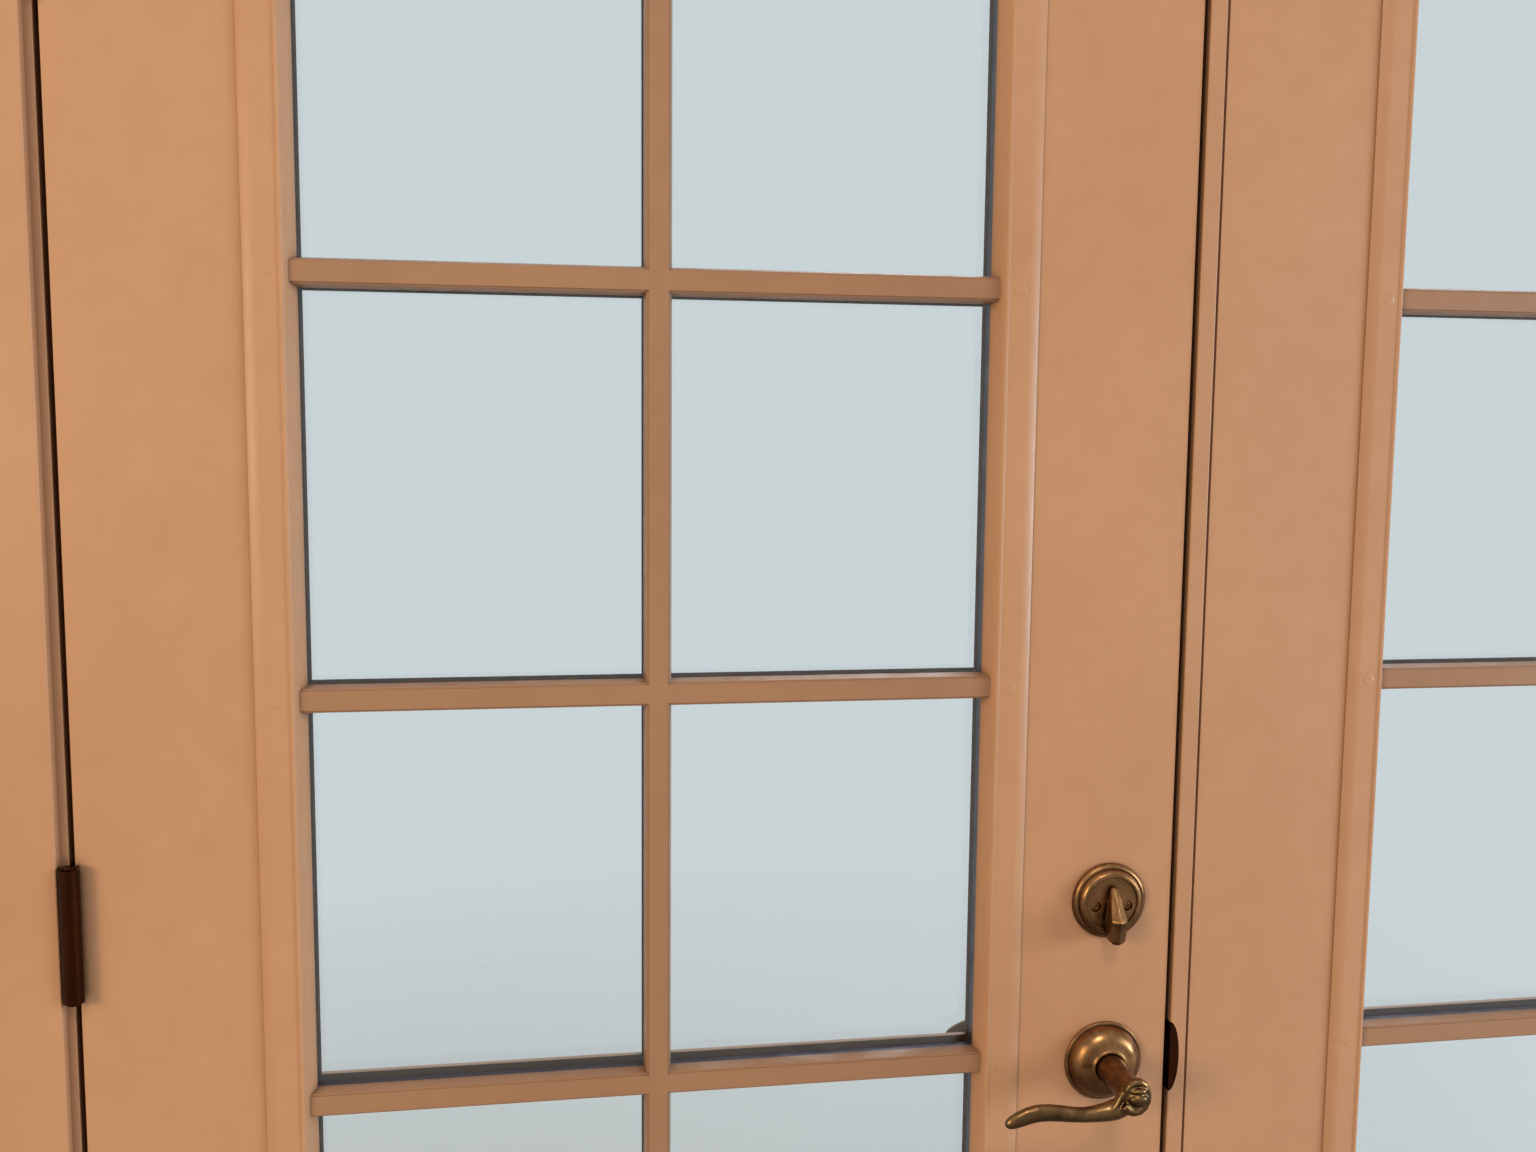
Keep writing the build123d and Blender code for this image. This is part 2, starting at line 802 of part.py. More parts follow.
def rose_screws():
    """The two screws that clamp the deadbolt's rose."""
    top = deadbolt_rose_height - deadbolt_rose_recess - rose_screw_sink
    shoulder = top - rose_screw_head_height
    bottom = -skin_thickness - rose_screw_bite
    profile = [
        (0, bottom),
        (rose_screw_radius, bottom),
        (rose_screw_radius, shoulder),
        (rose_screw_head_radius, shoulder),
        (rose_screw_head_radius, top),
        (0, top),
    ]
    z = deadbolt_z - rose_screw_drop
    offsets = (-rose_screw_offset, rose_screw_offset)
    return [turned(profile, (lock_x + x, room_face, z), (0, -1, 0)) for x in offsets]


def thumbturn():
    """A tapered turn piece with a ridge, on a shaft with a flat tailpiece."""
    underside = deadbolt_rose_height + turn_gap
    tip = Pos(0, turn_top - turn_tip_radius) * Circle(turn_tip_radius)
    end = Pos(0, turn_end_radius - turn_bottom) * Circle(turn_end_radius)
    front = make_hull([*tip.edges(), *end.edges()])
    deep = prism_along_y(Pos(lock_x, deadbolt_z) * front, room_face - turn_projection, room_face - underside)
    side_view = [
        (room_face - underside, deadbolt_z + turn_top),
        (room_face - underside - turn_top_rise, deadbolt_z + turn_top),
        (room_face - turn_projection, deadbolt_z - turn_ridge_drop),
        (room_face - underside - turn_end_rise, deadbolt_z - turn_bottom),
        (room_face - underside, deadbolt_z - turn_bottom),
    ]
    turn = deep & prism_along_x(side_view, lock_x - turn_end_radius, lock_x + turn_end_radius)
    shaft_length = underside + turn_shaft_bite
    turn += rod(turn_shaft_radius, (lock_x, room_face, deadbolt_z), (0, -1, 0), shaft_length)
    turn += block(
        (lock_x - tailpiece_thickness / 2, lock_x + tailpiece_thickness / 2),
        (room_face - turn_shaft_bite, leaf_middle + tailpiece_end),
        (deadbolt_z - tailpiece_width / 2, deadbolt_z + tailpiece_width / 2),
    )
    return turn


def make_deadbolt():
    """Thumbturn, rose, screws, case, bolt, and the keyed cylinder outdoors."""
    rose = deadbolt_rose()
    screws = rose_screws()
    for screw in screws:
        rose -= screw
        rose -= Pos(0, -rose_screw_sink, 0) * screw
    save("thumbturn_rose", rose)
    save("rose_screws", *screws)
    save("thumbturn", thumbturn())
    save("deadbolt_case", bolt_case(deadbolt_z, tailpiece_hole_radius))
    latch_plate = faceplate(lever_z, latch_radius, latch_half_thickness)
    save("lock_faceplates", latch_plate, faceplate(deadbolt_z, deadbolt_radius, deadbolt_half_thickness))
    start = active_free_edge - deadbolt_body
    save("deadbolt", bolt_bar(deadbolt_radius, deadbolt_half_thickness, start, active_free_edge, deadbolt_z))

    bore = key_plug_radius + running_clearance
    profile = [
        (bore, 0),
        (collar_radius, 0),
        (collar_radius, collar_rim),
        (collar_face_radius, collar_height - collar_ease),
        (collar_face_radius - collar_ease, collar_height),
        (bore, collar_height),
    ]
    outward = (0, 1, 0)
    save("cylinder_collar", turned(profile, (lock_x, outer_face, deadbolt_z), outward))
    length = key_plug_depth + collar_height + key_plug_proud
    key_plug = rod(key_plug_radius, (lock_x, outer_face - key_plug_depth, deadbolt_z), outward, length)
    front = outer_face + collar_height + key_plug_proud
    key_plug -= block(
        (lock_x - key_slot_width / 2, lock_x + key_slot_width / 2),
        (front - key_slot_depth, front),
        (deadbolt_z - key_slot_height / 2, deadbolt_z + key_slot_height / 2),
    )
    save("key_plug", key_plug)


# Astragal, strikes and flush bolts of the passive leaf

def latch_strike_blank():
    """The strike's side plate and its D-shaped lip on the room face."""
    plate = block(
        (astragal_left, astragal_left + strike_thickness),
        (astragal_face, leaf_middle + faceplate_width / 2),
        (lever_z - strike_half_height, lever_z + strike_half_height),
    )
    lip = Pos(astragal_left, lever_z) * Ellipse(strike_lip_width, strike_half_height)
    lip = prism_along_y(lip, astragal_face, astragal_face + strike_lip_thickness)
    right_half = block(
        (astragal_left, astragal_right),
        (astragal_face, astragal_face + strike_lip_thickness),
        (lever_z - strike_half_height, lever_z + strike_half_height),
    )
    return plate + (lip & right_half)


def deadbolt_strike_blank():
    """The deadbolt's strike plate on the astragal's edge."""
    return block(
        (astragal_left, astragal_left + strike_thickness),
        (leaf_middle - faceplate_width / 2, leaf_middle + faceplate_width / 2),
        (deadbolt_z - strike_half_height, deadbolt_z + strike_half_height),
    )


def latch_pocket():
    """Room for the latch bolt's tip."""
    half_y = latch_half_thickness + latch_pocket_clearance
    half_z = latch_radius + latch_pocket_clearance
    return block(
        (astragal_left, astragal_left + latch_pocket_depth),
        (leaf_middle - half_y, leaf_middle + half_y),
        (lever_z - half_z, lever_z + half_z),
    )


def flush_bolt(tip, inward):
    """A round bolt with a finger tab; tip is its end's height and inward points away from it."""
    bolt = rod(flush_bolt_radius, (bolt_x, leaf_middle, tip), (0, 0, inward), flush_bolt_length)
    z = tip + inward * tab_from_tip
    tab = block(
        (astragal_left + tab_recess, bolt_x),
        (leaf_middle - tab_width / 2, leaf_middle + tab_width / 2),
        (z - tab_height / 2, z + tab_height / 2),
    )
    return bolt + tab


def flush_bolt_way(tip, inward):
    """The bore and slot that a flush bolt moves in."""
    gap = flush_bolt_clearance
    start = tip - inward * astragal_end_gap
    length = flush_bolt_length + astragal_end_gap + flush_bolt_socket_gap
    way = rod(flush_bolt_radius + gap, (bolt_x, leaf_middle, start), (0, 0, inward), length)
    z = tip + inward * tab_from_tip
    ends = (z + inward * (tab_height / 2 + gap), z - inward * (tab_height / 2 + flush_bolt_throw + gap))
    half = tab_width / 2 + gap
    return way + block((astragal_left, bolt_x), (leaf_middle - half, leaf_middle + half), ends)


def make_astragal():
    """The astragal with its seal, strikes and flush bolts."""
    flange_left = active_free_edge - flange_overlap
    flange_right = astragal_right + flange_lap
    flange_back = stop_face + flange_thickness
    groove_left = astragal_right - astragal_groove_width
    groove_floor = astragal_face + astragal_groove_depth
    section = outline([
        (astragal_left, astragal_face),
        (groove_left, astragal_face),
        (groove_left, groove_floor),
        (astragal_right, groove_floor),
        (astragal_right, outer_face),
        (flange_right, outer_face),
        (flange_right, stop_face),
        (flange_right - flange_thickness, flange_back),
        (flange_left, flange_back),
        (flange_left, stop_face),
        (astragal_left, stop_face),
    ])
    astragal = Pos(0, 0, astragal_low) * extrude(section, amount=astragal_high - astragal_low)
    front_edges = astragal.edges().filter_by(Axis.Z).sort_by(Axis.Y)[:2]
    astragal = fillet(front_edges, astragal_ease)
    flange_top = head_stop_face - astragal_end_gap
    astragal -= block((flange_left, flange_right), (outer_face, flange_back), (flange_top, astragal_high))

    strike_hole = rod(deadbolt_hole_radius, (astragal_left, leaf_middle, deadbolt_z), (1, 0, 0), astragal_width)
    tips = {1: astragal_high - flush_bolt_recess, -1: astragal_low + flush_bolt_recess}
    cuts = [latch_strike_blank(), deadbolt_strike_blank(), latch_pocket(), strike_hole]
    cuts += [flush_bolt_way(tip, -up) for up, tip in tips.items()]
    for cut in cuts:
        astragal -= cut
    save("astragal", astragal)
    save("strikes", latch_strike_blank() - latch_pocket(), deadbolt_strike_blank() - strike_hole)
    save("top_flush_bolt", flush_bolt(tips[1], -1))
    save("bottom_flush_bolt", flush_bolt(tips[-1], 1))

    seal_left = flange_left
    seal = block(
        (seal_left, seal_left + astragal_seal_width),
        (outer_face + seal_clearance, stop_face),
        (astragal_low, flange_top),
    )
    front = seal.edges().filter_by(Axis.Z).sort_by(Axis.Y)[:2]
    save("astragal_seal", fillet(front, astragal_seal_width / 3))


# Frame, sill and trim

def deck_height(y):
    """Height of the deck's sloping top."""
    share = (y - stop_face) / (deck_end - stop_face)
    return deck_top_inner + (deck_top_outer - deck_top_inner) * share


def sill_pieces():
    """Substrate, deck and cap between the side jambs."""
    under = sill_cap_under
    x = (-half_opening, half_opening)
    substrate = prism_along_x(
        [
            (room_face, 0),
            (outdoor_edge, 0),
            (outdoor_edge, deck_height(outdoor_edge) - deck_thickness),
            (stop_face, under),
            (room_face, under),
        ],
        *x,
    )
    deck = prism_along_x(
        [
            (stop_face, under),
            (stop_face, deck_top_inner),
            (deck_end, deck_top_outer),
            (deck_end, deck_top_outer - deck_nose_drop),
            (deck_end - deck_thickness, deck_top_outer - deck_nose_drop),
            (deck_end - deck_thickness, deck_height(deck_end - deck_thickness) - deck_thickness),
        ],
        *x,
    )
    cap = block(x, (room_face, stop_face), (under, sill_cap_top))
    cap = fillet(cap.edges().filter_by(Axis.X).group_by(Axis.Z)[-1], sill_cap_ease)
    return substrate, deck, cap


def keeper(z, up):
    """A flush bolt's keeper plate and socket; up is 1 in the head and -1 in the sill."""
    half = keeper_length / 2
    half_width = astragal_width / 2
    plate = block(
        (bolt_x - half_width, bolt_x + half_width),
        (leaf_middle - half, leaf_middle + half),
        (z, z + up * keeper_thickness),
    )
    depth = flush_bolt_throw + flush_bolt_socket_gap - flush_bolt_recess - astragal_end_gap
    socket = rod(flush_bolt_socket_radius, (bolt_x, leaf_middle, z), (0, 0, up), depth)
    return plate, socket


def make_frame():
    """Jambs, sill, weatherstrips, hinge plates, pins and keepers."""
    substrate, deck, cap = sill_pieces()
    head_plate, head_socket = keeper(head_face, 1)
    sill_plate, sill_socket = keeper(sill_cap_top, -1)
    for side, name in ((-1, "left_jamb"), (1, "right_jamb")):
        jamb = block((side * half_opening, side * frame_half_width), (room_face, outdoor_edge), (0, frame_top))
        jamb += block((side * stop_edge, side * half_opening), (stop_face, outdoor_edge), (0, head_face))
        for cut in (substrate, deck, cap):
            jamb -= cut
        for level in hinge_levels:
            jamb -= hinge_recess(side, level, True)
            for screw in hinge_screws(side, level, True):
                jamb -= screw
        save(name, jamb)

    head = block((-half_opening, half_opening), (room_face, outdoor_edge), (head_face, frame_top))
    head += block((-stop_edge, stop_edge), (stop_face, outdoor_edge), (head_stop_face, head_face))
    save("head_jamb", head - head_plate - head_socket)
    save("sill_substrate", substrate - sill_socket)
    save("sill_deck", deck)
    save("sill_cap", cap - sill_plate - sill_socket)
    save("flush_bolt_keepers", head_plate - head_socket, sill_plate - sill_socket)

    plates = []
    pins = []
    screws = []
    for side in (-1, 1):
        for level in hinge_levels:
            plates.append(hinge_plate(side, level, True))
            pins.append(hinge_pin(side, level))
            screws += hinge_screws(side, level, True)
    save("frame_hinge_plates", *plates)
    save("hinge_pins", *pins)
    save("frame_hinge_screws", *screws)
    make_weatherstrips()


def make_weatherstrips():
    """Compression seals in the corner of the rabbet, on three sides."""
    y = (outer_face + seal_clearance, stop_face)
    top = head_face - weatherstrip_width
    strips = []
    for side in (-1, 1):
        x = (side * half_opening, side * (half_opening - weatherstrip_width))
        strip = block(x, y, (sill_cap_top, top))
        strips.append(fillet(strip.edges().filter_by(Axis.Z).group_by(Axis.Y)[0], weatherstrip_width / 4))
    strip = block((-half_opening, half_opening), y, (top, head_face))
    strips.append(fillet(strip.edges().filter_by(Axis.X).group_by(Axis.Y)[0], weatherstrip_width / 4))
    save("weatherstrips", *strips)


def trim_set(inner_x, inner_z, width, y, base):
    """Two legs and a head with mitred corners."""
    outer_x = inner_x + width
    outer_z = inner_z + width
    pieces = []
    for side in (-1, 1):
        leg = [(inner_x, base), (outer_x, base), (outer_x, outer_z), (inner_x, inner_z)]
        pieces.append(prism_along_y(outline([(side * x, z) for x, z in leg]), *y))
    head = [(-inner_x, inner_z), (inner_x, inner_z), (outer_x, outer_z), (-outer_x, outer_z)]
    pieces.append(prism_along_y(outline(head), *y))
    return pieces


def make_trim():
    """Flat casing on the room side and stepped moulding outdoors."""
    casing_y = (room_face - casing_thickness, room_face)
    casings = trim_set(half_opening + casing_reveal, head_face + casing_reveal, casing_width, casing_y, 0)
    eased = []
    for leg in casings[:2]:
        eased.append(fillet(leg.edges().filter_by(Axis.Z).group_by(Axis.Y)[0], casing_ease))
    head = casings[2]
    eased.append(fillet(head.edges().filter_by(Axis.X).group_by(Axis.Y)[0], casing_ease))
    save("casing", *eased)

    inner_x = half_opening + brickmould_reveal
    inner_z = head_face + brickmould_reveal
    back = outdoor_edge + brickmould_thickness
    step = brickmould_step
    low = trim_set(inner_x, inner_z, brickmould_width, (outdoor_edge, back - step), 0)
    high = trim_set(inner_x + step, inner_z + step, brickmould_width - step, (back - step, back), 0)
    save("brickmould", *[lower + upper for lower, upper in zip(low, high)])


make_frame()
make_trim()
make_leaf(-1, "active_leaf")
make_leaf(1, "passive_leaf")
make_lever_set()
make_deadbolt()
make_astragal()
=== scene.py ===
"""Looks for a pair of inswing french doors in their frame.

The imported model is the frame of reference: metres, +X to the right as seen from the room, +Y
outdoors, +Z up. Pieces that need soft edges or a cast form are modelled here and stand for their
nodes. The other nodes keep their shape and take a finish.
"""
import json
import math

import bmesh
import bpy
from bpy.props import FloatProperty, FloatVectorProperty, IntProperty, PointerProperty
from bpy.types import Operator, Panel, PropertyGroup
from mathutils import Matrix, Vector

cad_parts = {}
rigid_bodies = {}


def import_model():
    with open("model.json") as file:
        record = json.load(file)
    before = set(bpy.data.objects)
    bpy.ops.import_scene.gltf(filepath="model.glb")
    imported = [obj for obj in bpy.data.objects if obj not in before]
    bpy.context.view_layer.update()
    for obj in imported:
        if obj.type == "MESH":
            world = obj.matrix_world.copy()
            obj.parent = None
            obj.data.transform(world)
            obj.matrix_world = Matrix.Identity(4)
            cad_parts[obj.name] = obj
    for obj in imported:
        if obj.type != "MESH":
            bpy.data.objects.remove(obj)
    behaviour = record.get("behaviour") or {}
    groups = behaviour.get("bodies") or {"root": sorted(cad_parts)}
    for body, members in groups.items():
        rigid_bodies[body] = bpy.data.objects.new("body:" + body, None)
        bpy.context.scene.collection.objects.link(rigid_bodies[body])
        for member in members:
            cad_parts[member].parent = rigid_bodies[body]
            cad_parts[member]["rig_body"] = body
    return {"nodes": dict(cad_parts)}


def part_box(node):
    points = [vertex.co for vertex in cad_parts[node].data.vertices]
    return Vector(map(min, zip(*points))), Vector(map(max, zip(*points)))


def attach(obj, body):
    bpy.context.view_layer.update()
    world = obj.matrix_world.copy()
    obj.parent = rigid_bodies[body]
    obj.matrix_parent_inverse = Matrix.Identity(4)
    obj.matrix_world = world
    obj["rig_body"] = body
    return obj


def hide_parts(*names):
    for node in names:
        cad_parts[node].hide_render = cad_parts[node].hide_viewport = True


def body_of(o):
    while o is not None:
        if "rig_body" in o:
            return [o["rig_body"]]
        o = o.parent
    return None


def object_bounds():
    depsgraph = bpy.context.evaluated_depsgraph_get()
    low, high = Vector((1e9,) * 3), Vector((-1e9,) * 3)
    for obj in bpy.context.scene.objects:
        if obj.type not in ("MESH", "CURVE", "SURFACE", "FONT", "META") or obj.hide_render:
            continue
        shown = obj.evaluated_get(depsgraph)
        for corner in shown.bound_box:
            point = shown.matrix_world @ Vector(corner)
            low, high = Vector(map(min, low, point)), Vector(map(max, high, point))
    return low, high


bl_info = {
    "name": "French Doors",
    "version": (1, 0, 0),
    "blender": (4, 5, 0),
    "location": "View3D > Sidebar > French Doors",
    "description": "Dresses a pair of glazed doors in their frame",
    "category": "Object",
}

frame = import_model()
cad_low, cad_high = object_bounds()

LEAVES = ("active_leaf", "passive_leaf")
ROOM = Vector((0, -1, 0))
OUTDOORS = Vector((0, 1, 0))
UP = Vector((0, 0, 1))
WELD = 1e-6  # corners nearer than this are one


# Sizes and colours a user would change

def length(name, description, default):
    """A size in metres."""
    return FloatProperty(
        name=name, description=description, default=default, unit="LENGTH", precision=5
    )


def colour(name, description, default):
    """A linear colour."""
    return FloatVectorProperty(
        name=name, description=description, default=default, subtype="COLOR", min=0, max=1
    )


def share(name, description, default):
    """A number from 0 to 1."""
    return FloatProperty(
        name=name, description=description, default=default, min=0, max=1, subtype="FACTOR"
    )


class FrenchDoorsMoulding(PropertyGroup):
    """Section of the glazing frames and their bars."""

    member: length("Member", "Width of the glazing frame's moulding", 0.0365)
    lip: length("Lip", "How far the moulding's outer edge stands proud", 0.0012)
    flat: length("Flat", "How far the moulding's flat band stands proud", 0.0048)
    bead: length("Bead", "Width of the rounded outer edge", 0.0125)
    ridge: length("Ridge", "How far the inner ridge stands proud", 0.0058)
    depth: length("Depth", "How far the moulding reaches down to the glass", 0.011)
    lap: length("Lap", "How far the moulding laps over the leaf", 0.0145)
    bar: length("Bar", "Width of a bar at the glass", 0.022)
    bar_face: length("Bar face", "Width of a bar's flat front", 0.015)
    bar_proud: length("Bar height", "How far a bar stands proud of the leaf", 0.0003)
    edge: length("Soft edge", "Rounding of the moulding's edges", 0.0007)
    rows: IntProperty(name="Rows", description="Panes from bottom to top", default=5, min=1)
    columns: IntProperty(name="Columns", description="Panes from side to side", default=2, min=1)


class FrenchDoorsHardware(PropertyGroup):
    """Forms of the levers, roses and the thumbturn."""

    facets: IntProperty(name="Facets", description="Steps of a turned piece", default=96, min=12)
    throat: length("Throat", "Radius of the lever rose's throat", 0.0142)
    neck: length("Neck", "Radius of the lever's neck", 0.0123)
    curl: length("Curl", "Radius of the curl that runs round the lever's scroll", 0.0040)
    arm: length("Arm", "Half the arm's height at its thinnest", 0.0055)
    cast: length("Cast grain", "Size of the grid that melts the lever's forms together", 0.0007)
    screw_head: length("Screw head", "Radius of the deadbolt rose's screw heads", 0.0036)
    soften: length("Soft edge", "Rounding of plates, pins and bolts", 0.00035)


class FrenchDoorsFinish(PropertyGroup):
    """Colours and gloss."""

    paint: colour("Paint", "Satin paint on leaves, frame and trim", (0.588, 0.29, 0.146))
    paint_shade: colour("Paint shade", "The paint where it is thin or soiled", (0.524, 0.25, 0.121))
    # The bars' darker paint is painted shade: the same paint shown as if shaded.
    bars: share("Bar paint", "How bright the paint stays on the bars", 0.68)
    strip: share("Astragal paint", "How bright the paint stays on the astragal", 0.95)
    # The narrow edges' darker paint is painted shade for the gaps between leaves, astragal and
    # frame.
    edge: share("Edge paint", "How bright the paint stays on the leaves' narrow edges", 0.75)
    paint_gloss: share("Paint roughness", "Roughness of the paint", 0.42)
    brass: colour("Worn brass", "Brass on rubbed edges", (0.66, 0.315, 0.12))
    brass_shade: colour("Aged brass", "Brown patina in the brass", (0.074, 0.034, 0.013))
    handle: colour("Handled brass", "Brass of the levers where hands rub it", (0.52, 0.27, 0.105))
    handle_shade: colour("Handle patina", "Brown patina on the levers", (0.052, 0.030, 0.0125))
    bronze: colour("Bronze", "Hinges and strikes", (0.075, 0.017, 0.004))
    bronze_shade: colour("Dark bronze", "Dark patches on the hinges", (0.017, 0.005, 0.002))
    spacer: colour("Spacer", "Metal strip between the panes", (0.092, 0.086, 0.11))
    floor: colour("Floor", "Plain floor under the doors", (0.60, 0.59, 0.575))


SETTINGS = {
    "french_doors_moulding": FrenchDoorsMoulding,
    "french_doors_hardware": FrenchDoorsHardware,
    "french_doors_finish": FrenchDoorsFinish,
}


# Finishes

class Finish:
    """The nodes of one material."""

    def __init__(self, name):
        self.material = bpy.data.materials.new(name)
        self.material.use_nodes = True
        self.nodes = self.material.node_tree.nodes
        self.shader = self.nodes["Principled BSDF"]
        coordinates = self.nodes.new("ShaderNodeTexCoord").outputs
        self.place = coordinates["Object"]
        self.facing = coordinates["Normal"]

    def add(self, kind, settings=(), **inputs):
        """A node with its settings, and with values or links on its inputs."""
        node = self.nodes.new(kind)
        for key, value in dict(settings).items():
            setattr(node, key, value)
        for key, value in inputs.items():
            self.feed(node, key.replace("_", " "), value)
        return node

    def feed(self, node, socket, value):
        """A link or a value on one input, found by name without regard to capitals."""
        target = next(s for s in node.inputs if s.name.lower() == socket.lower() and s.enabled)
        self.plug(target, value)

    def plug(self, target, value):
        """A link or a value on an input."""
        if isinstance(value, bpy.types.NodeSocket):
            self.material.node_tree.links.new(value, target)
        else:
            target.default_value = value

    def set(self, **inputs):
        """Values or links on the shader."""
        for key, value in inputs.items():
            self.feed(self.shader, key.replace("_", " "), value)

    def stretched(self, x, y, z):
        """Object coordinates scaled along each axis."""
        return self.add("ShaderNodeMapping", vector=self.place, scale=(x, y, z)).outputs["Vector"]

    def noise(self, scale, detail=3.0, roughness=0.5, where=None, distortion=0.0):
        """Cloudy values from 0 to 1."""
        node = self.add(
            "ShaderNodeTexNoise",
            vector=where or self.place,
            scale=scale,
            detail=detail,
            roughness=roughness,
            distortion=distortion,
        )
        return node.outputs["Fac"]

    def cells(self, scale):
        """Distances from the middles of a pattern of cells."""
        node = self.add("ShaderNodeTexVoronoi", vector=self.place, scale=scale)
        return node.outputs["Distance"]

    def open_air(self, reach):
        """How open the surface is, from 0 deep in a corner to 1, as far as reach."""
        node = self.add("ShaderNodeAmbientOcclusion", {"samples": 6}, distance=reach)
        return node.outputs["AO"]

    def band(self, value, low, high, start=0.0, end=1.0):
        """Maps a stretch of a value on to another, and holds it there."""
        node = self.add("ShaderNodeMapRange", {"clamp": True}, value=value)
        ends = {"From Min": low, "From Max": high, "To Min": start, "To Max": end}
        for key, number in ends.items():
            node.inputs[key].default_value = number
        return node.outputs["Result"]

    def sum(self, operation, first, second=0.0, third=None):
        """One step of arithmetic."""
        node = self.add("ShaderNodeMath", {"operation": operation})
        for index, value in enumerate((first, second, third)):
            if value is not None:
                self.plug(node.inputs[index], value)
        return node.outputs[0]

    def mix(self, factor, first, second):
        """A blend of two colours."""
        node = self.add("ShaderNodeMix", {"data_type": "RGBA"})
        self.plug(node.inputs[0], factor)
        for index, value in ((6, first), (7, second)):
            linked = isinstance(value, bpy.types.NodeSocket)
            self.plug(node.inputs[index], value if linked else (*value, 1.0))
        return node.outputs[2]

    def bump(self, height, distance, strength, under=None):
        """Relief of a given depth in metres."""
        node = self.add("ShaderNodeBump", height=height, distance=distance, strength=strength)
        if under is not None:
            self.feed(node, "Normal", under)
        return node.outputs["Normal"]


def paint_finish(name, settings, grain=None, tone=1.0):
    """Satin paint with roller stipple, and painted shade darkening its corners.

    grain stretches timber grain along an axis, and tone darkens the paint; on the bars and the
    leaves' narrow edges that darkening is painted shade.
    """
    corner_shade_reach, corner_shade_tone, speck_tone = 0.009, 0.5, 0.9
    stipple_depth, roller_depth, grain_depth = 0.00009, 0.00016, 0.00022
    finish = Finish(name)
    thin, full = ([tone * c for c in paint] for paint in (settings.paint_shade, settings.paint))
    clouds = finish.noise(2.6, 4.0, 0.55)
    scuffs = finish.noise(34.0, 5.0, 0.65)
    cover = finish.sum("ADD", clouds, finish.sum("MULTIPLY", scuffs, 0.35))
    tint = finish.mix(finish.band(cover, 0.52, 0.86), thin, full)
    specks = finish.band(finish.cells(260.0), 0.0, 0.075)
    tint = finish.mix(specks, [c * speck_tone for c in thin], tint)
    # Painted shade: corners and hollows darken towards the thin paint's tone, as if shaded.
    away_from_hollows = finish.band(finish.open_air(corner_shade_reach), 0.4, 0.92)
    finish.set(base_color=finish.mix(away_from_hollows, [c * corner_shade_tone for c in thin], tint))
    gloss = settings.paint_gloss
    finish.set(roughness=finish.band(scuffs, 0.3, 0.7, gloss - 0.06, gloss + 0.09))
    stipple = finish.bump(finish.noise(620.0, 2.0, 0.6), stipple_depth, 0.55)
    rolled = finish.bump(finish.noise(95.0, 2.0, 0.5), roller_depth, 0.5, stipple)
    if grain:
        fibres = finish.noise(1.0, 4.0, 0.6, finish.stretched(*grain), 0.4)
        rolled = finish.bump(fibres, grain_depth, 0.5, rolled)
    finish.set(normal=rolled, specular_ior_level=0.42)
    return finish.material


def leaf_timber_finish(name, settings):
    """Bare softwood inside the leaf, with the leaf's outer edges painted."""
    on_edge = 0.0002  # how near an outer face counts as on it
    finish = Finish(name)
    low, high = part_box("passive_leaf_inner_skin")
    axes = finish.add("ShaderNodeSeparateXYZ", vector=finish.place).outputs
    across = finish.sum("ABSOLUTE", axes["X"])
    edges = [(across, low.x), (across, high.x), (axes["Z"], low.z), (axes["Z"], high.z)]
    painted = 0.0
    for value, edge in edges:
        painted = finish.sum("MAXIMUM", finish.sum("COMPARE", value, edge, on_edge), painted)
    rings = finish.noise(1.0, 5.0, 0.6, finish.stretched(70.0, 70.0, 2.4), 1.2)
    wood = finish.mix(finish.band(rings, 0.35, 0.65), (0.44, 0.26, 0.12), (0.62, 0.42, 0.22))
    finish.set(base_color=finish.mix(painted, wood, settings.paint_shade), roughness=0.55)
    finish.set(normal=finish.bump(rings, 0.0003, 0.4))
    return finish.material


def metal_finish(name, worn, patina, rough, wear, scale=42.0):
    """Plated metal with a blotchy patina, rubbed on its edges, with patina in its hollows and
    painted shade darkening it underneath.
    """
    hollow_reach, rubbing = 0.004, 0.85
    finish = Finish(name)
    blotches = finish.noise(scale, 5.0, 0.62, distortion=0.5)
    edges = finish.add("ShaderNodeNewGeometry").outputs["Pointiness"]
    rubbed = finish.band(edges, 0.505, 0.56)
    amount = finish.sum("MULTIPLY", finish.band(blotches, 0.3, 0.72), wear)
    amount = finish.sum("MAXIMUM", amount, finish.sum("MULTIPLY", rubbed, rubbing))
    # Painted shade: faces that turn downwards keep more of the dark patina colour.
    light_from_above = finish.add("ShaderNodeSeparateXYZ", vector=finish.facing).outputs["Z"]
    amount = finish.sum("MULTIPLY", amount, finish.band(light_from_above, -0.35, 0.7, 0.16, 1.0))
    away_from_hollows = finish.band(finish.open_air(hollow_reach), 0.35, 0.95, 0.15, 1.0)
    amount = finish.sum("MULTIPLY", amount, away_from_hollows)
    finish.set(base_color=finish.mix(amount, patina, worn), metallic=1.0)
    smears = finish.noise(95.0, 4.0, 0.6)
    finish.set(roughness=finish.band(smears, 0.3, 0.7, rough - 0.08, rough + 0.12))
    relief = finish.bump(finish.noise(420.0, 3.0, 0.6), 0.00006, 0.5)
    finish.set(normal=finish.bump(finish.noise(60.0, 2.0), 0.00015, 0.35, relief))
    return finish.material


def glass_finish(name):
    """Clear float glass with a trace of dust."""
    finish = Finish(name)
    finish.set(base_color=(0.94, 0.975, 0.965, 1.0), ior=1.45, transmission_weight=1.0)
    dust = finish.noise(7.0, 6.0, 0.7)
    finish.set(roughness=finish.band(dust, 0.45, 0.8, 0.0, 0.035))
    finish.set(normal=finish.bump(finish.noise(1.6, 1.0), 0.0006, 0.12))
    return finish.material


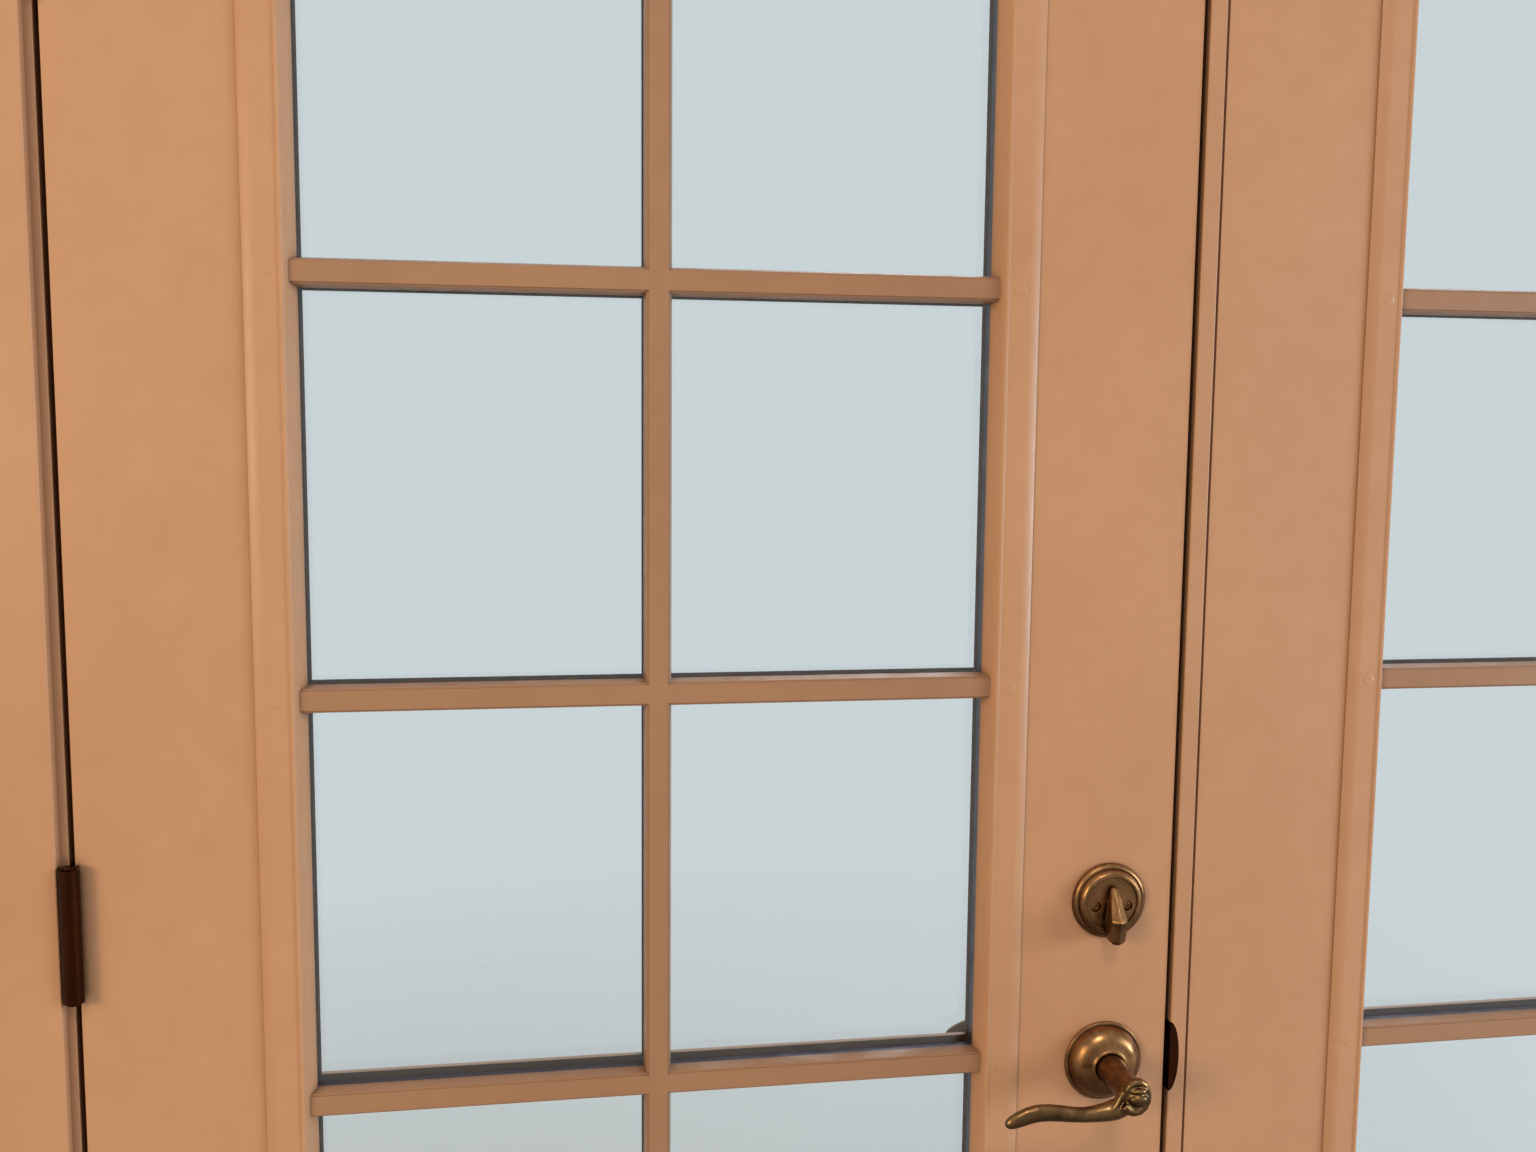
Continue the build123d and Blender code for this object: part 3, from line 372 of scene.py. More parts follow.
def spacer_finish(name, settings):
    """Dark anodised spacer with the pinholes of the real strip."""
    finish = Finish(name)
    pits = finish.band(finish.cells(230.0), 0.12, 0.2)
    finish.set(base_color=finish.mix(pits, [c * 0.4 for c in settings.spacer], settings.spacer))
    finish.set(metallic=0.55, roughness=finish.band(finish.noise(60.0), 0.3, 0.7, 0.38, 0.55))
    finish.set(normal=finish.bump(pits, 0.0002, 0.4))
    return finish.material


def rubber_finish(name):
    """Dull brown seal with a faint ribbing."""
    finish = Finish(name)
    bloom = finish.noise(28.0, 5.0, 0.6)
    brown = finish.mix(bloom, (0.03, 0.018, 0.012), (0.075, 0.046, 0.03))
    finish.set(base_color=brown, roughness=0.72, specular_ior_level=0.3)
    finish.set(normal=finish.bump(finish.noise(500.0, 2.0), 0.0001, 0.5))
    return finish.material


def sill_metal_finish(name):
    """Mill aluminium with ribs that run along the sill, dulled by feet."""
    finish = Finish(name)
    wave = {"bands_direction": "Y"}
    ribs = finish.add("ShaderNodeTexWave", wave, vector=finish.place, scale=42.0).outputs["Fac"]
    dirt = finish.noise(9.0, 6.0, 0.7)
    soiled = finish.band(dirt, 0.4, 0.75)
    finish.set(base_color=finish.mix(soiled, (0.52, 0.51, 0.49), (0.3, 0.28, 0.25)))
    finish.set(metallic=1.0, roughness=finish.band(dirt, 0.3, 0.7, 0.34, 0.56))
    relief = finish.bump(ribs, 0.0006, 0.6)
    scratches = finish.noise(1.0, 2.0, 0.5, finish.stretched(20.0, 900.0, 900.0))
    finish.set(normal=finish.bump(scratches, 0.00008, 0.5, relief))
    return finish.material


def wood_finish(name, stretch, pale, dark, gloss):
    """Planed timber with grain drawn out along one axis."""
    finish = Finish(name)
    rings = finish.noise(1.0, 6.0, 0.62, finish.stretched(*stretch), 1.6)
    flecks = finish.noise(1.0, 3.0, 0.7, finish.stretched(*[s * 6 for s in stretch]))
    summer, pores = finish.band(rings, 0.3, 0.7), finish.band(flecks, 0.3, 0.6, 0.7, 1.0)
    finish.set(base_color=finish.mix(finish.sum("MULTIPLY", summer, pores), dark, pale))
    finish.set(roughness=finish.band(rings, 0.3, 0.7, gloss, gloss + 0.15))
    finish.set(normal=finish.bump(flecks, 0.0004, 0.5))
    return finish.material


def foam_finish(name):
    """Pale rigid foam with open cells."""
    finish = Finish(name)
    cells = finish.cells(520.0)
    walls = finish.band(cells, 0.1, 0.5)
    finish.set(base_color=finish.mix(walls, (0.55, 0.46, 0.24), (0.78, 0.7, 0.46)))
    finish.set(roughness=0.85, normal=finish.bump(cells, 0.0006, 0.7))
    return finish.material


def steel_finish(name):
    """Zinc-plated steel with a fine brushed grain."""
    finish = Finish(name)
    grain = finish.noise(1.0, 3.0, 0.6, finish.stretched(60.0, 700.0, 700.0))
    zinc = finish.mix(grain, (0.38, 0.36, 0.33), (0.6, 0.57, 0.52))
    finish.set(base_color=zinc, metallic=1.0)
    finish.set(roughness=finish.band(grain, 0.2, 0.8, 0.24, 0.42))
    finish.set(normal=finish.bump(grain, 0.00006, 0.5))
    return finish.material


def floor_finish(name, settings):
    """Plain pale floor that keeps the doors' shadow and fades out around them."""
    fade_start, fade_end = 1.3, 3.6
    finish = Finish(name)
    clouds = finish.noise(1.4, 3.0)
    finish.set(base_color=finish.mix(clouds, [c * 0.97 for c in settings.floor], settings.floor))
    measure = {"operation": "LENGTH"}
    away = finish.add("ShaderNodeVectorMath", measure, vector=finish.place).outputs["Value"]
    finish.set(alpha=finish.band(away, fade_start, fade_end, 1.0, 0.0))
    finish.set(roughness=0.8, specular_ior_level=0.2)
    return finish.material


def make_finish(name):
    """Builds one finish by name."""
    settings = bpy.context.scene.french_doors_finish
    upright, level, along_sill = (170.0, 170.0, 5.0), (5.0, 170.0, 170.0), (3.0, 60.0, 60.0)
    brass = (settings.brass, settings.brass_shade)
    handle = (settings.handle, settings.handle_shade)
    bronze = (settings.bronze, settings.bronze_shade)
    oak = {"pale": (0.36, 0.19, 0.08), "dark": (0.16, 0.075, 0.03), "gloss": 0.3}
    softwood = {"pale": (0.58, 0.4, 0.21), "dark": (0.4, 0.24, 0.11), "gloss": 0.55}
    recipes = {
        "satin_door_paint": lambda: paint_finish(name, settings),
        "upright_trim_paint": lambda: paint_finish(name, settings, upright),
        "level_trim_paint": lambda: paint_finish(name, settings, level),
        "bar_shaded_paint": lambda: paint_finish(name, settings, tone=settings.bars),
        "astragal_paint": lambda: paint_finish(name, settings, upright, settings.strip),
        "narrow_side_shaded_paint": lambda: paint_finish(name, settings, tone=settings.edge),
        "leaf_timber": lambda: leaf_timber_finish(name, settings),
        "aged_brass": lambda: metal_finish(name, *brass, 0.31, 0.72),
        "handle_brass": lambda: metal_finish(name, *handle, 0.3, 0.66),
        "dark_bronze": lambda: metal_finish(name, *bronze, 0.42, 0.6, 70.0),
        "float_glass": lambda: glass_finish(name),
        "glass_spacer_metal": lambda: spacer_finish(name, settings),
        "seal_rubber": lambda: rubber_finish(name),
        "sill_aluminium": lambda: sill_metal_finish(name),
        "sill_oak": lambda: wood_finish(name, along_sill, **oak),
        "sill_softwood": lambda: wood_finish(name, along_sill, **softwood),
        "core_foam": lambda: foam_finish(name),
        "plated_steel": lambda: steel_finish(name),
        "plain_floor": lambda: floor_finish(name, settings),
    }
    return recipes[name]()


def finish_named(name):
    """The finish with this name, built when it is first asked for."""
    return bpy.data.materials.get(name) or make_finish(name)


def dress(node, finish):
    """Gives a carried-over node its finish."""
    for slot in frame["nodes"][node].material_slots:
        slot.link = "OBJECT"
        slot.material = finish_named(finish)


# Mesh tools

def shade(bm, sharpest):
    """Smooth faces, with edges past an angle kept sharp."""
    for face in bm.faces:
        face.smooth = True
    for edge in bm.edges:
        paired = len(edge.link_faces) == 2
        edge.smooth = paired and edge.calc_face_angle() < math.radians(sharpest)


def finished(name, bm, body, finishes, nodes, sharpest):
    """Turns a mesh into a piece that rides on a body and stands for its nodes.

    Its faces choose among the finishes by their material index.
    """
    shade(bm, sharpest)
    mesh = bpy.data.meshes.new(name)
    bm.to_mesh(mesh)
    bm.free()
    for finish in finishes:
        mesh.materials.append(finish_named(finish))
    piece = bpy.data.objects.new(name, mesh)
    bpy.context.scene.collection.objects.link(piece)
    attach(piece, body)
    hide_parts(*nodes)
    return piece


def even_normals(piece):
    """Keeps broad faces flat beside their rounded edges."""
    modifier = piece.modifiers.new("Even normals", "WEIGHTED_NORMAL")
    modifier.keep_sharp = True
    modifier.weight = 80


def softened(node, rounding, finish, shortest=0.0, segments=2, edge_finish=None):
    """A copy of a node with its sharp outer edges rounded, which stands for it.

    Edges up to the shortest length stay as they are, and narrow sides can have their own finish.
    """
    flat_angle, sharp_angle = math.radians(0.5), math.radians(50)
    bm = bmesh.new()
    bm.from_mesh(frame["nodes"][node].data)
    bmesh.ops.remove_doubles(bm, verts=bm.verts, dist=WELD)
    bmesh.ops.dissolve_limit(bm, angle_limit=flat_angle, verts=bm.verts, edges=bm.edges)
    edges = []
    for edge in bm.edges:
        if edge.is_manifold and edge.is_convex and edge.calc_length() > shortest:
            if edge.calc_face_angle() > sharp_angle:
                edges.append(edge)
    if edge_finish:
        bm.normal_update()
        for face in bm.faces:
            face.material_index = int(abs(face.normal.y) < 0.5)  # 1 on narrow sides
    bmesh.ops.bevel(
        bm,
        geom=edges,
        offset=rounding,
        segments=segments,
        profile=0.5,
        affect="EDGES",
        material=-1,
        clamp_overlap=True,
    )
    body = body_of(frame["nodes"][node])[0]
    finishes = [finish, edge_finish] if edge_finish else [finish]
    piece = finished(f"soft_{node}", bm, body, finishes, [node], 32.0)
    even_normals(piece)
    return piece


def closed_outline(bm, corners):
    """A flat outline of (x, y, z, rounding) corners, each rounded by its own amount."""
    wide = 0.002  # a rounding past this takes more segments
    verts = [bm.verts.new(corner[:3]) for corner in corners]
    bm.faces.new(verts)
    for vert, corner in zip(verts, corners):
        rounding = corner[3]
        if rounding:
            bmesh.ops.bevel(
                bm,
                geom=[vert],
                offset=rounding,
                segments=8 if rounding > wide else 3,
                profile=0.5,
                affect="VERTICES",
                material=-1,
            )
    face = bm.faces[:][0]
    edges = face.edges[:]
    bmesh.ops.delete(bm, geom=[face], context="FACES_ONLY")
    return edges


def spun(bm, edges, axis, steps):
    """Spins an outline once round an axis through the origin."""
    geom = edges + list(dict.fromkeys(vert for edge in edges for vert in edge.verts))
    bmesh.ops.spin(
        bm,
        geom=geom,
        cent=(0, 0, 0),
        axis=axis,
        dvec=(0, 0, 0),
        angle=math.tau,
        steps=steps,
        use_merge=True,
    )
    bmesh.ops.remove_doubles(bm, verts=bm.verts, dist=WELD)


def standing(centre, facing):
    """The place of a form made on +Z that stands on a point and faces a direction."""
    return Matrix.Translation(centre) @ facing.to_track_quat("Z", "Y").to_matrix().to_4x4()


def turned(corners, centre, facing, steps):
    """A turned form: (radius, height, rounding) corners spun about an axis through centre."""
    bm = bmesh.new()
    outline = [(radius, 0, height, rounding) for radius, height, rounding in corners]
    spun(bm, closed_outline(bm, outline), UP, steps)
    bmesh.ops.recalc_face_normals(bm, faces=bm.faces)
    bmesh.ops.transform(bm, matrix=standing(centre, facing), verts=bm.verts)
    return bm


def edges_among(bm, verts):
    """Edges with both ends among these corners."""
    return [edge for edge in bm.edges if edge.verts[0] in verts and edge.verts[1] in verts]


def corners_in(made):
    """The corners among what an operator made."""
    return [item for item in made["geom"] if isinstance(item, bmesh.types.BMVert)]


def poured(target, source):
    """Adds one mesh to another."""
    mesh = bpy.data.meshes.new("part")
    source.to_mesh(mesh)
    source.free()
    target.from_mesh(mesh)
    bpy.data.meshes.remove(mesh)
    return target


def centre_of(node):
    """Middle of a node's box."""
    low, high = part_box(node)
    return (low + high) / 2


def round_node(node, facing):
    """Radius and height of a round node, and the middle of the side it stands on."""
    low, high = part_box(node)
    base = high.y if facing.y < 0 else low.y
    foot = Vector(((low.x + high.x) / 2, base, (low.z + high.z) / 2))
    return (high.x - low.x) / 2, high.y - low.y, foot


# Pieces

class FRENCHDOORS_OT_leaves(Operator):
    """Skins of both leaves with softened edges, and the finishes inside the leaves"""

    bl_idname = "french_doors.leaves"
    bl_label = "Leaves"

    def execute(self, context):
        rounding, shortest = 0.0009, 0.012
        finishes = {
            "timber": "leaf_timber",
            "foam_core": "core_foam",
            "sweep": "seal_rubber",
            "glass": "float_glass",
            "glass_spacer": "glass_spacer_metal",
            "glazing_screws": "plated_steel",
            "screw_plugs": "satin_door_paint",
            "hinge_screws": "dark_bronze",
        }
        for leaf in LEAVES:
            for face in ("inner", "outer"):
                skin = f"{leaf}_{face}_skin"
                # Narrow sides of the skins take a darker paint as painted shade in the gaps.
                softened(skin, rounding, "satin_door_paint", shortest, 3, edge_finish="narrow_side_shaded_paint")
            for part, finish in finishes.items():
                dress(f"{leaf}_{part}", finish)
        return {"FINISHED"}


class FRENCHDOORS_OT_glazing(Operator):
    """Moulded glazing frames with their bars, on both faces of both leaves"""

    bl_idname = "french_doors.glazing"
    bl_label = "Glazing frames"

    def moulding(self, sizes, half_width, half_height):
        """The mitred surround, centred on the origin with its proud side towards -Y."""
        ridge_width = 0.0105
        bm = bmesh.new()
        soft = sizes.edge
        start = sizes.member - ridge_width
        tangent = sizes.bead * 0.615  # how far the bead's curve runs on to the flat
        section = [  # across from the outer edge, proud of the leaf, and rounding
            (0, 0, 0),
            (0, sizes.lip, 0.0004),
            (sizes.bead - tangent, sizes.flat, tangent * 0.98),
            (start, sizes.flat, soft * 0.7),
            (start + 0.0009, sizes.ridge, soft * 0.7),
            (start + 0.0026, sizes.ridge, soft * 0.7),
            (start + 0.0035, sizes.ridge - 0.0010, soft * 0.7),
            (start + 0.0055, sizes.flat / 3, soft * 2),
            (sizes.member - 0.0006, -sizes.depth + 0.002, 0),
            (sizes.member, -sizes.depth, 0),
            (sizes.lap, -sizes.depth, 0),
            (sizes.lap, 0, 0),
        ]
        corners = [
            (-half_width + u, -proud, -half_width + u, rounding) for u, proud, rounding in section
        ]
        spun(bm, closed_outline(bm, corners), (0, 1, 0), 4)
        rise = Vector((0, 0, half_height - half_width))
        bmesh.ops.translate(bm, vec=rise, verts=[v for v in bm.verts if v.co.z > 0])
        bmesh.ops.translate(bm, vec=-rise, verts=[v for v in bm.verts if v.co.z < 0])
        bmesh.ops.recalc_face_normals(bm, faces=bm.faces)
        return bm

    def bar(self, sizes, start, end, proud):
        """One bar between two points on the leaf's face."""
        bm = bmesh.new()
        half, face, soft = sizes.bar / 2, sizes.bar_face / 2, sizes.edge
        right = [  # across from the middle, proud of the leaf, and rounding
            (half, -sizes.depth, 0),
            (face + 0.0015, proud - 0.0017, soft / 2),
            (face, proud - 0.0015, soft / 2),
            (face, proud, soft / 2),
        ]
        section = right + [(-x, height, rounding) for x, height, rounding in reversed(right)]
        corners = [(x, -height, 0, rounding) for x, height, rounding in section]
        bmesh.ops.edgeloop_fill(bm, edges=closed_outline(bm, corners))
        along = end - start
        ends = corners_in(bmesh.ops.extrude_face_region(bm, geom=bm.faces[:]))
        bmesh.ops.translate(bm, vec=(0, 0, along.length), verts=ends)
        bmesh.ops.recalc_face_normals(bm, faces=bm.faces)
        level = abs(along.x) > abs(along.z)
        turn = Matrix.Rotation(math.radians(90), 4, "Y") if level else Matrix()
        bmesh.ops.transform(bm, matrix=Matrix.Translation(start) @ turn, verts=bm.verts)
        return bm

    def grid(self, sizes, half_width, half_height):
        """Surround and bars together."""
        overlap = 0.0055  # how far a bar runs into the surround
        hair = 0.00006  # how much lower the level bars stand, so that no two faces coincide
        bm = self.moulding(sizes, half_width, half_height)
        reach = sizes.member - overlap
        inner_width = 2 * (half_width - sizes.member) + sizes.bar
        inner_height = 2 * (half_height - sizes.member) + sizes.bar
        bars = []
        for column in range(1, sizes.columns):
            x = inner_width * (column / sizes.columns - 0.5)
            foot, head = (Vector((x, 0, side * (half_height - reach))) for side in (-1, 1))
            bars.append(self.bar(sizes, foot, head, sizes.bar_proud))
        for row in range(1, sizes.rows):
            z = inner_height * (row / sizes.rows - 0.5)
            left, right = (Vector((side * (half_width - reach), 0, z)) for side in (-1, 1))
            bars.append(self.bar(sizes, left, right, sizes.bar_proud - hair))
        # Bars take the second finish, the paint darkened as painted shade.
        for bar in bars:
            for face in bar.faces:
                face.material_index = 1
            poured(bm, bar)
        return bm

    def execute(self, context):
        sizes = context.scene.french_doors_moulding
        paints = ("satin_door_paint", "bar_shaded_paint")
        for leaf in LEAVES:
            for place in ("inner", "outer"):
                node = f"{leaf}_{place}_glazing_frame"
                low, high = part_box(node)
                bm = self.grid(sizes, (high.x - low.x) / 2, (high.z - low.z) / 2)
                skin_low, skin_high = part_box(f"{leaf}_{place}_skin")
                face_y = skin_low.y if place == "inner" else skin_high.y
                centre = Vector(((low.x + high.x) / 2, face_y, (low.z + high.z) / 2))
                turn = Matrix.Rotation(0 if place == "inner" else math.pi, 4, "Z")
                bmesh.ops.transform(bm, matrix=Matrix.Translation(centre) @ turn, verts=bm.verts)
                name = f"moulded_{node}"
                piece = finished(name, bm, leaf, paints, [node], 50.0)
                even_normals(piece)
        return {"FINISHED"}


class FRENCHDOORS_OT_hinges(Operator):
    """Hinge plates, knuckles and pins with softened edges"""

    bl_idname = "french_doors.hinges"
    bl_label = "Hinges"

    def execute(self, context):
        soft = context.scene.french_doors_hardware.soften
        plates = [f"{leaf}_hinge_plates" for leaf in LEAVES]
        for node in ("frame_hinge_plates", "hinge_pins", *plates):
            softened(node, soft, "dark_bronze")
        dress("frame_hinge_screws", "dark_bronze")
        return {"FINISHED"}


class FRENCHDOORS_OT_levers(Operator):
    """Both levers with their domed roses, the latch and the spindle"""

    bl_idname = "french_doors.levers"
    bl_label = "Levers"

    def rose(self, sizes, node, facing):
        """A domed rose with a thin rim and a rolled throat."""
        radius, rise, foot = round_node(node, facing)
        bore = sizes.throat - 0.0016
        corners = [  # radius, height and rounding, as in the other turned forms
            (bore, 0.0, 0),
            (radius, 0.0, 0),
            (radius, 0.0016, 0.0006),
            (radius - 0.0022, 0.0024, 0.0005),
            (radius - 0.0028, 0.0019, 0.0003),
            (radius * 0.845, rise * 0.72, 0.0085),
            (sizes.throat + 0.0042, rise * 0.86, 0.003),
            (sizes.throat + 0.0008, rise * 0.93, 0.0006),
            (sizes.throat, rise, 0.0005),
            (bore, rise, 0.0004),
        ]
        return turned(corners, foot, facing, sizes.facets)

    def neck(self, sizes, height):
        """The neck, which swells a little where it leaves the rose and again at the scroll."""
        radius, sunk = sizes.neck, 0.002
        corners = [
            (0.0, sunk, 0),
            (radius, sunk, 0.0006),
            (radius, height * 0.3, 0.008),
            (radius * 0.86, height * 0.78, 0.01),
            (radius * 0.95, height, 0.002),
            (0.0, height, 0),
        ]
        return turned(corners, Vector(), UP, 48)

    def carried(self, path, swells, side):
        """A ring carried along a path and scaled at each point, along side and across it."""
        bm = bmesh.new()
        ring = bmesh.ops.create_circle(bm, cap_ends=True, segments=20, radius=1.0)["verts"]
        previous = Matrix()
        for index, (point, (tall, deep)) in enumerate(zip(path, swells)):
            before, after = path[max(index - 1, 0)], path[min(index + 1, len(path) - 1)]
            along = (after - before).normalized()
            across = side.cross(along).normalized()
            turn = Matrix((across, along.cross(across), along)).transposed()
            scale = Matrix.Diagonal((deep, tall, 1.0, 1.0))
            here = Matrix.Translation(point) @ turn.to_4x4() @ scale
            if index:
                made = bmesh.ops.extrude_edge_only(bm, edges=edges_among(bm, ring))
                ring = corners_in(made)
            bmesh.ops.transform(bm, matrix=here @ previous.inverted(), verts=ring)
            previous = here
        bmesh.ops.edgeloop_fill(bm, edges=edges_among(bm, ring))
        bmesh.ops.recalc_face_normals(bm, faces=bm.faces)
        return bm

    def scroll(self, sizes, centre):
        """The rounded end: a ball, the curl that runs on round it, and a button with a groove."""
        balls = [  # place and radii
            ((0, 0, 0), (0.0116, 0.0095, 0.0128)),
            ((0.0006, -0.0074, -0.0012), (0.0080, 0.0052, 0.0050)),
            ((0.0006, -0.0072, 0.0056), (0.0070, 0.0044, 0.0026)),
        ]
        curl = [  # degrees round the ball, radius of the path, share of the full thickness
            (-150, 0.0125, 1.0), (-125, 0.0122, 1.05), (-100, 0.0118, 1.0), (-75, 0.0114, 0.92),
            (-50, 0.0108, 0.84), (-25, 0.0102, 0.76), (0, 0.0098, 0.7), (25, 0.0099, 0.7),
            (50, 0.0103, 0.76), (75, 0.0106, 0.84), (100, 0.0106, 0.84), (125, 0.0102, 0.74),
            (150, 0.0096, 0.58), (172, 0.009, 0.36), (186, 0.0086, 0.2),
        ]
        web = [  # x, z and share of the full thickness
            (-0.0085, 0.0062, 0.4), (-0.0105, 0.0025, 0.8), (-0.0126, -0.0015, 0.95),
            (-0.0148, -0.006, 1.0), (-0.0178, -0.0102, 1.0), (-0.0225, -0.0132, 0.8),
        ]
        curl_proud, curl_oval, curl_tall = 0.0046, 1.1, 1.15
        web_proud, web_tall, web_deep = 0.0012, 0.0042, 0.0028
        bm = bmesh.new()
        for place, radii in balls:
            ball = bmesh.ops.create_uvsphere(bm, u_segments=40, v_segments=24, radius=1.0)["verts"]
            bmesh.ops.scale(bm, vec=radii, verts=ball)
            bmesh.ops.translate(bm, vec=place, verts=ball)
        path, swells = [], []
        for degrees, radius, swell in curl:
            angle = math.radians(degrees)
            x, z = radius * math.cos(angle), radius * math.sin(angle) * curl_oval
            path.append(Vector((x, -curl_proud, z)))
            swells.append((sizes.curl * swell * curl_tall, sizes.curl * swell))
        poured(bm, self.carried(path, swells, ROOM))
        path = [Vector((x, -web_proud, z)) for x, z, swell in web]
        swells = [(web_tall * swell, web_deep * swell) for x, z, swell in web]
        poured(bm, self.carried(path, swells, ROOM))
        bmesh.ops.translate(bm, vec=centre, verts=bm.verts)
        bmesh.ops.remove_doubles(bm, verts=bm.verts, dist=WELD)
        bmesh.ops.recalc_face_normals(bm, faces=bm.faces)
        return bm

    def handle(self, sizes):
        """Neck, scroll and arm of the room-side lever, melted together like a casting."""
        waves = [  # share of the arm's reach, rise, and shares of the thickness, tall and deep
            (0.02, -0.0085, 1.05, 1.2), (0.075, -0.0112, 1.42, 1.35), (0.14, -0.0134, 1.52, 1.35),
            (0.21, -0.0150, 1.38, 1.2), (0.3, -0.0158, 1.2, 1.08), (0.39, -0.0160, 1.1, 1.0),
            (0.48, -0.0150, 1.13, 0.95), (0.57, -0.0134, 1.2, 0.9), (0.66, -0.0121, 1.27, 0.88),
            (0.75, -0.0120, 1.3, 0.88), (0.83, -0.0137, 1.27, 0.86), (0.9, -0.0163, 1.16, 0.82),
            (0.955, -0.0186, 0.95, 0.72), (0.985, -0.0198, 0.66, 0.52), (0.998, -0.0203, 0.3, 0.25),
        ]
        hub_depth, hub_rise, scroll_proud, arm_set_back = 0.0125, 0.0014, 0.001, 0.0005
        low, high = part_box("inner_lever")
        axis = centre_of("lever_spindle")
        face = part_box("active_leaf_inner_skin")[0].y
        hub = Vector((axis.x, low.y + hub_depth, axis.z + hub_rise))
        bm = self.neck(sizes, face - hub.y)
        stand = standing((axis.x, face, axis.z), ROOM)
        bmesh.ops.transform(bm, matrix=stand, verts=bm.verts)
        poured(bm, self.scroll(sizes, hub + ROOM * scroll_proud))
        reach = hub.x - low.x
        thin = sizes.arm
        path, swells = [], []
        for along, rise, tall, deep in waves:
            path.append(hub + Vector((-reach * along, arm_set_back, rise)))
            swells.append((thin * tall, thin * deep))
        return poured(bm, self.carried(path, swells, UP))

    def execute(self, context):
        sizes = context.scene.french_doors_hardware
        for node, facing in (("inner_rose", ROOM), ("outer_rose", OUTDOORS)):
            bm = self.rose(sizes, node, facing)
            finished(f"domed_{node}", bm, "active_leaf", ["aged_brass"], [node], 60.0)
        middle = (centre_of("inner_lever").y + centre_of("outer_lever").y) / 2
        for node in ("inner_lever", "outer_lever"):
            bm = self.handle(sizes)
            if node == "outer_lever":
                flip = Matrix.Translation((0, 2 * middle, 0)) @ Matrix.Scale(-1, 4, (0, 1, 0))
                bmesh.ops.transform(bm, matrix=flip, verts=bm.verts)
                bmesh.ops.recalc_face_normals(bm, faces=bm.faces)
            name = f"cast_{node}"
            piece = finished(name, bm, "lever_set", ["handle_brass"], [node], 180.0)
            melt = piece.modifiers.new("Casting", "REMESH")
            melt.mode = "VOXEL"
            melt.voxel_size = sizes.cast
            melt.use_smooth_shade = True
            relax = piece.modifiers.new("Polish", "SMOOTH")
            relax.factor = 0.5
            relax.iterations = 8
        dress("lever_spindle", "plated_steel")
        softened("latch_bolt", sizes.soften, "plated_steel")
        dress("latch_case", "plated_steel")
        softened("lock_faceplates", sizes.soften, "aged_brass")
        return {"FINISHED"}


